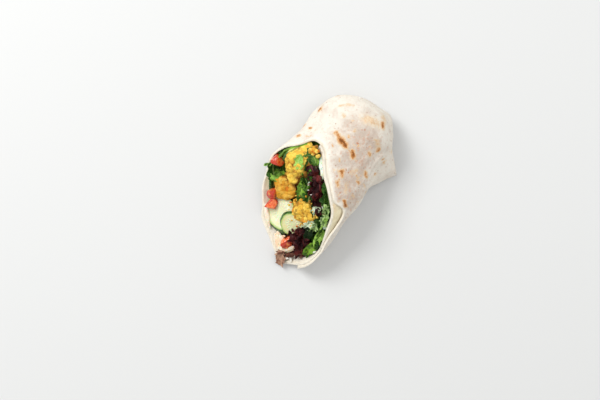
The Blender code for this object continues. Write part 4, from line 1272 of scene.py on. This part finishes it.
def tomato_material():
    """Wet diced tomato: red skin on one side, orange-red flesh with paler walls and juice on the rest."""
    m = Nodes("wet_tomato", 0.14, Subsurface_Weight=0.2, Subsurface_Scale=0.002, Coat_Weight=0.25,
              Coat_Roughness=0.08)
    flesh = m.layer(TOMATO_RED, TOMATO_ORANGE, m.noise(0.0030, 3), 0.38, 0.62)
    flesh = m.layer(flesh, TOMATO_WALL, m.noise(0.0014, 3), 0.56, 0.72, 0.7)
    colour = m.mix(m.times(m.value("skin"), 0.85), flesh, TOMATO_SKIN)
    colour = m.layer(colour, TOMATO_JUICE, m.noise(0.004, 2), 0.58, 0.70, 0.6)
    return m.finish(colour, None, ((m.noise(0.0013, 3), 0.0005),))


# ---------------------------------------------------------------------------------------------- yoghurt

# Each smear: place, half sizes, heading, lean and how creamy.
SMEARS = (
    ((24.0, 31.5, -2.2), (2.0, 8.5, 3.0), -8, 0, 0.0),
    ((23.5, 22.0, -2.0), (1.8, 6.0, 2.6), -2, 0, 0.1),
    ((13.6, -8.3, 1.0), (3.0, 3.6, 2.2), 30, 10, 0.0),
    ((3.8, -21.0, 1.0), (4.2, 3.0, 2.2), -20, 0, 0.1),
    ((20.0, -23.0, 0.6), (3.0, 2.2, 1.8), 30, 0, 0.0),
    ((21.5, -6.5, -0.6), (1.8, 3.6, 2.2), 0, 0, 0.0),
    ((-21.5, -43.0, 0.6), (8.0, 3.4, 2.6), 8, 0, 0.8),
    ((-38.5, -13.0, 0.6), (2.2, 10.5, 2.0), 2, 0, 0.7),
    ((-30.5, -38.0, -0.6), (4.0, 10.5, 2.6), 9, 0, 1.0),
    ((-26.5, -35.5, -0.4), (4.2, 5.0, 2.4), 10, 0, 1.0),
    ((7.0, -46.0, 0.0), (3.0, 2.6, 2.0), 0, 0, 0.4),
    ((10.5, 14.0, 1.2), (1.3, 2.2, 1.2), -30, 0, 0.3),
)
SMEAR_CLEAR = 0.0003
SMEAR_ROWS = 44
SMEAR_COLUMNS = 64
SMEAR_SWELL = 0.22
YOGHURT_WHITE = (0.78, 0.82, 0.72)
YOGHURT_GREEN = (0.60, 0.70, 0.48)
CREAM = (0.93, 0.83, 0.66)
CREAM_ORANGE = (0.90, 0.64, 0.42)
CHOPPED_HERB = (0.16, 0.30, 0.04)


def smear_shape(number):
    """A smear of yoghurt: a drawn-out ball with soft lobes from noise, thinner to its rim."""
    place, half, heading, lean, creamy = SMEARS[number]
    way = sphere_grid(SMEAR_ROWS, SMEAR_COLUMNS)
    swell = 1 + SMEAR_SWELL * rough(way + 3 * number, SWELL_SIZE, 90 + number, 2)
    points = on_face(placed(way * np.array(half) * swell[..., None], (lean, 0, heading), place))
    return round_solid(kept_inside(points, SMEAR_CLEAR), {"creamy": np.full(swell.shape, creamy)})


def yoghurt_material():
    """Yoghurt sauce: creamy white, faintly green with herbs, smooth and wet."""
    m = Nodes("yoghurt_sauce", 0.30, Subsurface_Weight=0.3, Subsurface_Scale=0.003)
    colour = m.layer(YOGHURT_WHITE, YOGHURT_GREEN, m.noise(0.005, 2), 0.4, 0.7)
    cream = m.layer(CREAM, CREAM_ORANGE, m.noise(0.004, 2), 0.4, 0.62)
    colour = m.mix(m.value("creamy"), colour, cream)
    herbs = m.ramp(m.cells(0.0034), 0.10, 0.16, 0.8, 0.0)
    colour = m.mix(m.times(herbs, m.ramp(m.noise(0.006, 1), 0.48, 0.56)), colour, CHOPPED_HERB)
    return m.finish(colour, None, ((m.noise(0.0016, 2), 0.0004),))


# ---------------------------------------------------------------------------------------------- scraps

# The leaf edges that hang out over the rim's lowest tip, as the leaves above.
RIM_LEAVES = (
    ((-20.5, -47.2, 1.4), -4, 52, 27, 6.0, 0.8, 2.0, 3, 0.9),
    ((-29.2, -50.8, 1.6), 76, 8, 14.0, 9.5, 0.5, 1.0, 2, -0.1),
)
# Each scrap: place and half sizes.
PALE_SCRAPS = (
    ((-24.0, -52.0, 1.2), (2.2, 1.0, 0.8)),
    ((-20.0, -53.0, 1.0), (1.2, 1.8, 0.7)),
    ((-27.5, -50.5, 1.4), (1.6, 0.9, 0.7)),
    ((12.5, 5.5, 4.0), (1.4, 0.6, 0.5)),
    ((10.0, 9.5, 4.2), (1.8, 0.5, 0.5)),
)
# Small leaves of herb on the first ball and over the left rim.
HERB_LEAVES = (
    ((7.4, 34.0, 6.4), 80, 6, 13, 7.5, 0.6, 1.0, 2, 0.1),
    ((-25.5, 19.5, 0.5), 160, 24, 9, 5, 0.8, 1.0, 2, 0.4),
    ((-28.5, 32.8, 0.4), 6, 20, 9, 2.2, 0.3, 1.0, 1, 0.5),
)
# Loose crumbs round the third ball, and a lump of them above the first.
LOOSE_CRUMBS = 40
LOOSE_MIDDLE = (0.4, -9.6)
LOOSE_RADIUS = 12.4
LOOSE_REACH = (0.86, 1.30)  # in loose radii
LOOSE_HEIGHTS = (1.2, 3.4)
LOOSE_SIZES = (0.45, 1.15)
LUMP_CRUMBS = 20
LUMP_AT = (19.0, 41.2, -0.8)
LUMP_SPREAD = (2.4, 2.0, 0.5)
LUMP_SIZES = (0.9, 2.0)
CRUMB_ROWS = 10
CRUMB_COLUMNS = 14
CRUMB_SWELL = 0.4
ONION_WHITE = (0.90, 0.88, 0.80)
ONION_SHADED = (0.78, 0.72, 0.62)


def crumb_shape(place, size, number):
    """A crumb: a small ball swollen by noise."""
    way = sphere_grid(CRUMB_ROWS, CRUMB_COLUMNS)
    swell = 1 + CRUMB_SWELL * rough(way + 9 * number, SWELL_SIZE, number, 2)
    bit = (number * 0.37) % 1.0
    kinds = {"crust": 0.0, "bit": bit, "height": 0.6}
    values = {key: np.full(swell.shape, value) for key, value in kinds.items()}
    return round_solid(on_face(way * size * swell[..., None] + np.array(place)), values)


def scattered_crumbs():
    """Places and sizes for loose crumbs round the third ball and a lump by the first, from a fixed seed."""
    pick = np.random.default_rng(3)
    made = []
    for _ in range(LOOSE_CRUMBS):
        a = pick.uniform(0, 2 * math.pi)
        far = pick.uniform(*LOOSE_REACH) * LOOSE_RADIUS
        right = LOOSE_MIDDLE[0] + far * math.cos(a)
        up = LOOSE_MIDDLE[1] + far * math.sin(a)
        place = (right, up, pick.uniform(*LOOSE_HEIGHTS))
        made.append((place, pick.uniform(*LOOSE_SIZES)))
    for _ in range(LUMP_CRUMBS):
        place = np.array(LUMP_AT) + pick.normal(size=3) * np.array(LUMP_SPREAD)
        made.append((place, pick.uniform(*LUMP_SIZES)))
    return made


def onion_material():
    """Raw onion: white, a little shaded, and moist."""
    m = Nodes("pale_onion_scrap", 0.3)
    return m.finish(m.mix(m.noise(0.002), ONION_WHITE, ONION_SHADED), None, ((m.noise(0.001), 0.0003),))


# ---------------------------------------------------------------------------------------------- settings

def colour_setting(name, description, value):
    """A colour that a user may change."""
    return bpy.props.FloatVectorProperty(name=name, description=description, default=value, subtype="COLOR",
                                         size=3, min=0.0, max=1.0)


def length_setting(name, description, value):
    """A length that a user may change."""
    return bpy.props.FloatProperty(name=name, description=description, default=value, unit="LENGTH", min=0.0)


def power_setting(name, description, value):
    """A lamp's power that a user may change."""
    return bpy.props.FloatProperty(name=name, description=description, default=value, unit="POWER", min=0.0)


class WrapTortillaSettings(bpy.types.PropertyGroup):
    """Heights and colours of the tortilla"""

    crumple: length_setting("Crumple", "Height of the sheet's soft unevenness", 0.0007)
    crease: length_setting("Creases", "Height of the long creases", 0.0007)
    blister: length_setting("Blisters", "How far a toasted spot is raised", 0.00035)
    dough: colour_setting("Dough", "Main colour of the tortilla", (0.88, 0.82, 0.715))
    shade: colour_setting("Shade", "Colour of its broad mottling", (0.60, 0.475, 0.385))
    flour: colour_setting("Flour", "Colour of the flour's dust", (0.93, 0.885, 0.80))
    yellowed: colour_setting("Yellowed", "Faintly toasted patches", (0.84, 0.63, 0.38))
    toasted: colour_setting("Toasted", "Toasted spots", (0.60, 0.225, 0.042))
    browned: colour_setting("Browned", "Middle of the darkest spots", (0.20, 0.062, 0.012))


class WrapFillingSettings(bpy.types.PropertyGroup):
    """Sizes and colours of the filling"""

    leaf: length_setting("Leaf", "Thickness of a lettuce leaf", 0.00045)
    crumb_height: length_setting("Crumb", "How far a ball's crumbs stand out", 0.0010)
    crumb: colour_setting("Crumb", "Main colour of the balls inside", (0.72, 0.37, 0.035))
    crumb_light: colour_setting("Light crumb", "Their lighter bits", (0.90, 0.62, 0.12))
    green: colour_setting("Green leaf", "Light green of the lettuce", (0.27, 0.50, 0.040))
    green_deep: colour_setting("Deep green", "Deep green of the lettuce", (0.012, 0.072, 0.004))
    red: colour_setting("Red leaf", "Light part of the red lettuce", (0.078, 0.009, 0.008))
    red_deep: colour_setting("Deep red", "Dark part of the red lettuce", (0.014, 0.003, 0.004))


class WrapStageSettings(bpy.types.PropertyGroup):
    """The floor's colour and the lights"""

    floor: colour_setting("Floor", "Colour of the floor", (0.675, 0.68, 0.672))
    key: power_setting("Key", "Power of the main light", 27.0)
    side: power_setting("Side", "Power of the weak light across", 4.2)
    fill: bpy.props.FloatProperty(name="Fill", description="Brightness all round", default=0.68, min=0.0)


# ---------------------------------------------------------------------------------------------- operators


class WrapTortilla(bpy.types.Operator):
    """Roll the tortilla"""

    bl_idname = "wrap.tortilla"
    bl_label = "Tortilla"

    def execute(self, context):
        settings = context.scene.wrap_tortilla
        shape = tortilla_shape(settings)
        piece("tortilla_sheet", *shape, tortilla_material(settings), "tortilla", "tortilla")
        return {"FINISHED"}


class WrapGreenSalad(bpy.types.Operator):
    """Pack the salad and lay the green leaves over it"""

    bl_idname = "wrap.green_salad"
    bl_label = "Green Salad"

    def execute(self, context):
        settings = context.scene.wrap_filling
        piece("salad_bed", *bed_shape(), bed_material(), "green_lettuce", "green_salad")
        material = leaf_material("green_lettuce_leaf", tuple(settings.green), tuple(settings.green_deep),
                                 GREEN_VEIN_AND_HIGHLIGHT, GREEN_PALE_AND_HIGHLIGHT, 0.34)
        leaves("green_leaves", GREEN_LEAVES, material, "green_lettuce", settings.leaf, 100)
        return {"FINISHED"}


class WrapRedLettuce(bpy.types.Operator):
    """Lay the two bunches of red lettuce"""

    bl_idname = "wrap.red_lettuce"
    bl_label = "Red Lettuce"

    def execute(self, context):
        settings = context.scene.wrap_filling
        material = leaf_material("red_lettuce_leaf", tuple(settings.red), tuple(settings.red_deep),
                                 RED_VEIN, RED_PALE, 0.34, 0.5)
        for part, table in (("upper", RED_LEAVES_UPPER), ("lower", RED_LEAVES_LOWER)):
            node = f"red_lettuce_{part}"
            leaves(f"red_leaves_{part}", table, material, "red_lettuce", settings.leaf, 300, node)
        return {"FINISHED"}


class WrapMeatballs(bpy.types.Operator):
    """Place the three vegetable balls and their crumbs"""

    bl_idname = "wrap.meatballs"
    bl_label = "Vegetable Balls"

    def execute(self, context):
        settings = context.scene.wrap_filling
        material = ball_material(settings)
        balls = [ball_shape(i, settings.crumb_height) for i in range(len(BALLS))]
        pieces("vegetable_ball", balls, material, "meatball", "meatball")
        crumbs = [crumb_shape(place, size, i) for i, (place, size) in enumerate(scattered_crumbs())]
        piece("loose_crumbs", *joined(crumbs), material, "meatball")
        return {"FINISHED"}


class WrapCucumber(bpy.types.Operator):
    """Lay the four cucumber slices"""

    bl_idname = "wrap.cucumber"
    bl_label = "Cucumber"

    def execute(self, context):
        slices = [slice_shape(i) for i in range(len(SLICES))]
        pieces("cucumber_slice", slices, slice_material(), "cucumber", "cucumber")
        return {"FINISHED"}


class WrapTomato(bpy.types.Operator):
    """Place the four pieces of tomato"""

    bl_idname = "wrap.tomato"
    bl_label = "Tomato"

    def execute(self, context):
        dice = [tomato_shape(i) for i in range(len(TOMATOES))]
        pieces("diced_tomato", dice, tomato_material(), "tomato", "tomato")
        return {"FINISHED"}


class WrapYoghurt(bpy.types.Operator):
    """Spoon the yoghurt sauce in"""

    bl_idname = "wrap.yoghurt"
    bl_label = "Yoghurt Sauce"

    def execute(self, context):
        smears = joined([smear_shape(i) for i in range(len(SMEARS))])
        piece("yoghurt_smears", *smears, yoghurt_material(), "yoghurt", "yoghurt_sauce")
        return {"FINISHED"}


class WrapScraps(bpy.types.Operator):
    """Add the leaf edges over the rim, the herb leaves and the pale scraps"""

    bl_idname = "wrap.scraps"
    bl_label = "Scraps"

    def execute(self, context):
        settings = context.scene.wrap_filling
        brown = leaf_material("browned_leaf_edge", *BROWN_LEAF, 0.4)
        leaves("leaf_edges_over_rim", RIM_LEAVES, brown, "red_lettuce", settings.leaf, 500, inside=False)
        fresh = leaf_material("fresh_herb_leaf", *HERB_LEAF, 0.35)
        leaves("herb_leaves", HERB_LEAVES, fresh, "green_lettuce", settings.leaf, 600, inside=False)
        scraps = [crumb_shape(place, np.array(half), i) for i, (place, half) in enumerate(PALE_SCRAPS)]
        piece("onion_scraps", *joined(scraps), onion_material(), "yoghurt")
        return {"FINISHED"}


EYE = (-0.02610, 0.00486, 1.0)
EYE_TURN = math.radians(-53.13)
LENS = 68.52
SENSOR = 36.0
FLOOR_REACH = 3.0
# Each lamp: its setting, its place and its size. All of them aim at one point.
LAMPS = (("key", (0.12, 1.34, 1.44), 0.9), ("side", (0.85, -0.45, 1.20), 1.0))
LAMP_AIM = (0.0, 0.0, 0.03)


class WrapStage(bpy.types.Operator):
    """Set the floor, the soft lights and the camera"""

    bl_idname = "wrap.stage"
    bl_label = "Stage"

    def execute(self, context):
        settings = context.scene.wrap_stage
        mesh = bpy.data.meshes.new("floor")
        corners = [(-1, -1), (1, -1), (1, 1), (-1, 1)]
        mesh.from_pydata([(x * FLOOR_REACH, y * FLOOR_REACH, 0.0) for x, y in corners], [], [(0, 1, 2, 3)])
        mesh.materials.append(Nodes("pale_floor", 0.6).finish(tuple(settings.floor)))
        floor = linked("floor", mesh)

        world = bpy.data.worlds.new("soft_studio")
        world.use_nodes = True
        world.node_tree.nodes["Background"].inputs["Color"].default_value = (1.0, 1.0, 1.0, 1.0)
        world.node_tree.nodes["Background"].inputs["Strength"].default_value = settings.fill
        context.scene.world = world

        for name, place, size in LAMPS:
            light = bpy.data.lights.new(name, "AREA")
            light.size = size
            light.energy = getattr(settings, name)
            lamp = linked(name, light)
            lamp.location = place
            aim = np.array(LAMP_AIM) - np.array(place)
            lean = math.atan2(math.hypot(aim[0], aim[1]), -aim[2])
            lamp.rotation_euler = (lean, 0.0, math.atan2(aim[1], aim[0]) - math.pi / 2)

        data = bpy.data.cameras.new("camera")
        data.lens = LENS
        data.sensor_width = SENSOR
        camera = linked("camera", data)
        camera.location = EYE
        camera.rotation_euler = (0.0, 0.0, EYE_TURN)
        context.scene.camera = camera
        context.scene.view_settings.view_transform = "Standard"
        return {"FINISHED"}


class WrapPanel(bpy.types.Panel):
    """The wrap's pieces and their settings"""

    bl_idname = "WRAP_PT_pieces"
    bl_label = "Meatball Wrap"
    bl_space_type = "VIEW_3D"
    bl_region_type = "UI"
    bl_category = "Wrap"

    def draw(self, context):
        for operator in OPERATORS:
            self.layout.operator(operator.bl_idname)
        for name, group in SETTINGS.items():
            box = self.layout.box()
            for key in group.__annotations__:
                box.prop(getattr(context.scene, name), key)


SETTINGS = {
    "wrap_tortilla": WrapTortillaSettings,
    "wrap_filling": WrapFillingSettings,
    "wrap_stage": WrapStageSettings,
}
OPERATORS = (
    WrapTortilla,
    WrapGreenSalad,
    WrapRedLettuce,
    WrapMeatballs,
    WrapCucumber,
    WrapTomato,
    WrapYoghurt,
    WrapScraps,
    WrapStage,
)


def register():
    """Registers the settings, the operators and the panel."""
    for key, group in SETTINGS.items():
        bpy.utils.register_class(group)
        setattr(bpy.types.Scene, key, bpy.props.PointerProperty(type=group))
    for made in (*OPERATORS, WrapPanel):
        bpy.utils.register_class(made)


def unregister():
    """Takes them away again."""
    for made in (WrapPanel, *reversed(OPERATORS)):
        bpy.utils.unregister_class(made)
    for key, group in SETTINGS.items():
        delattr(bpy.types.Scene, key)
        bpy.utils.unregister_class(group)


def main():
    """Registers the add-on and makes every piece."""
    register()
    bpy.ops.wrap.tortilla()
    bpy.ops.wrap.green_salad()
    bpy.ops.wrap.red_lettuce()
    bpy.ops.wrap.meatballs()
    bpy.ops.wrap.cucumber()
    bpy.ops.wrap.tomato()
    bpy.ops.wrap.yoghurt()
    bpy.ops.wrap.scraps()
    bpy.ops.wrap.stage()


if __name__ == "__main__":
    main()
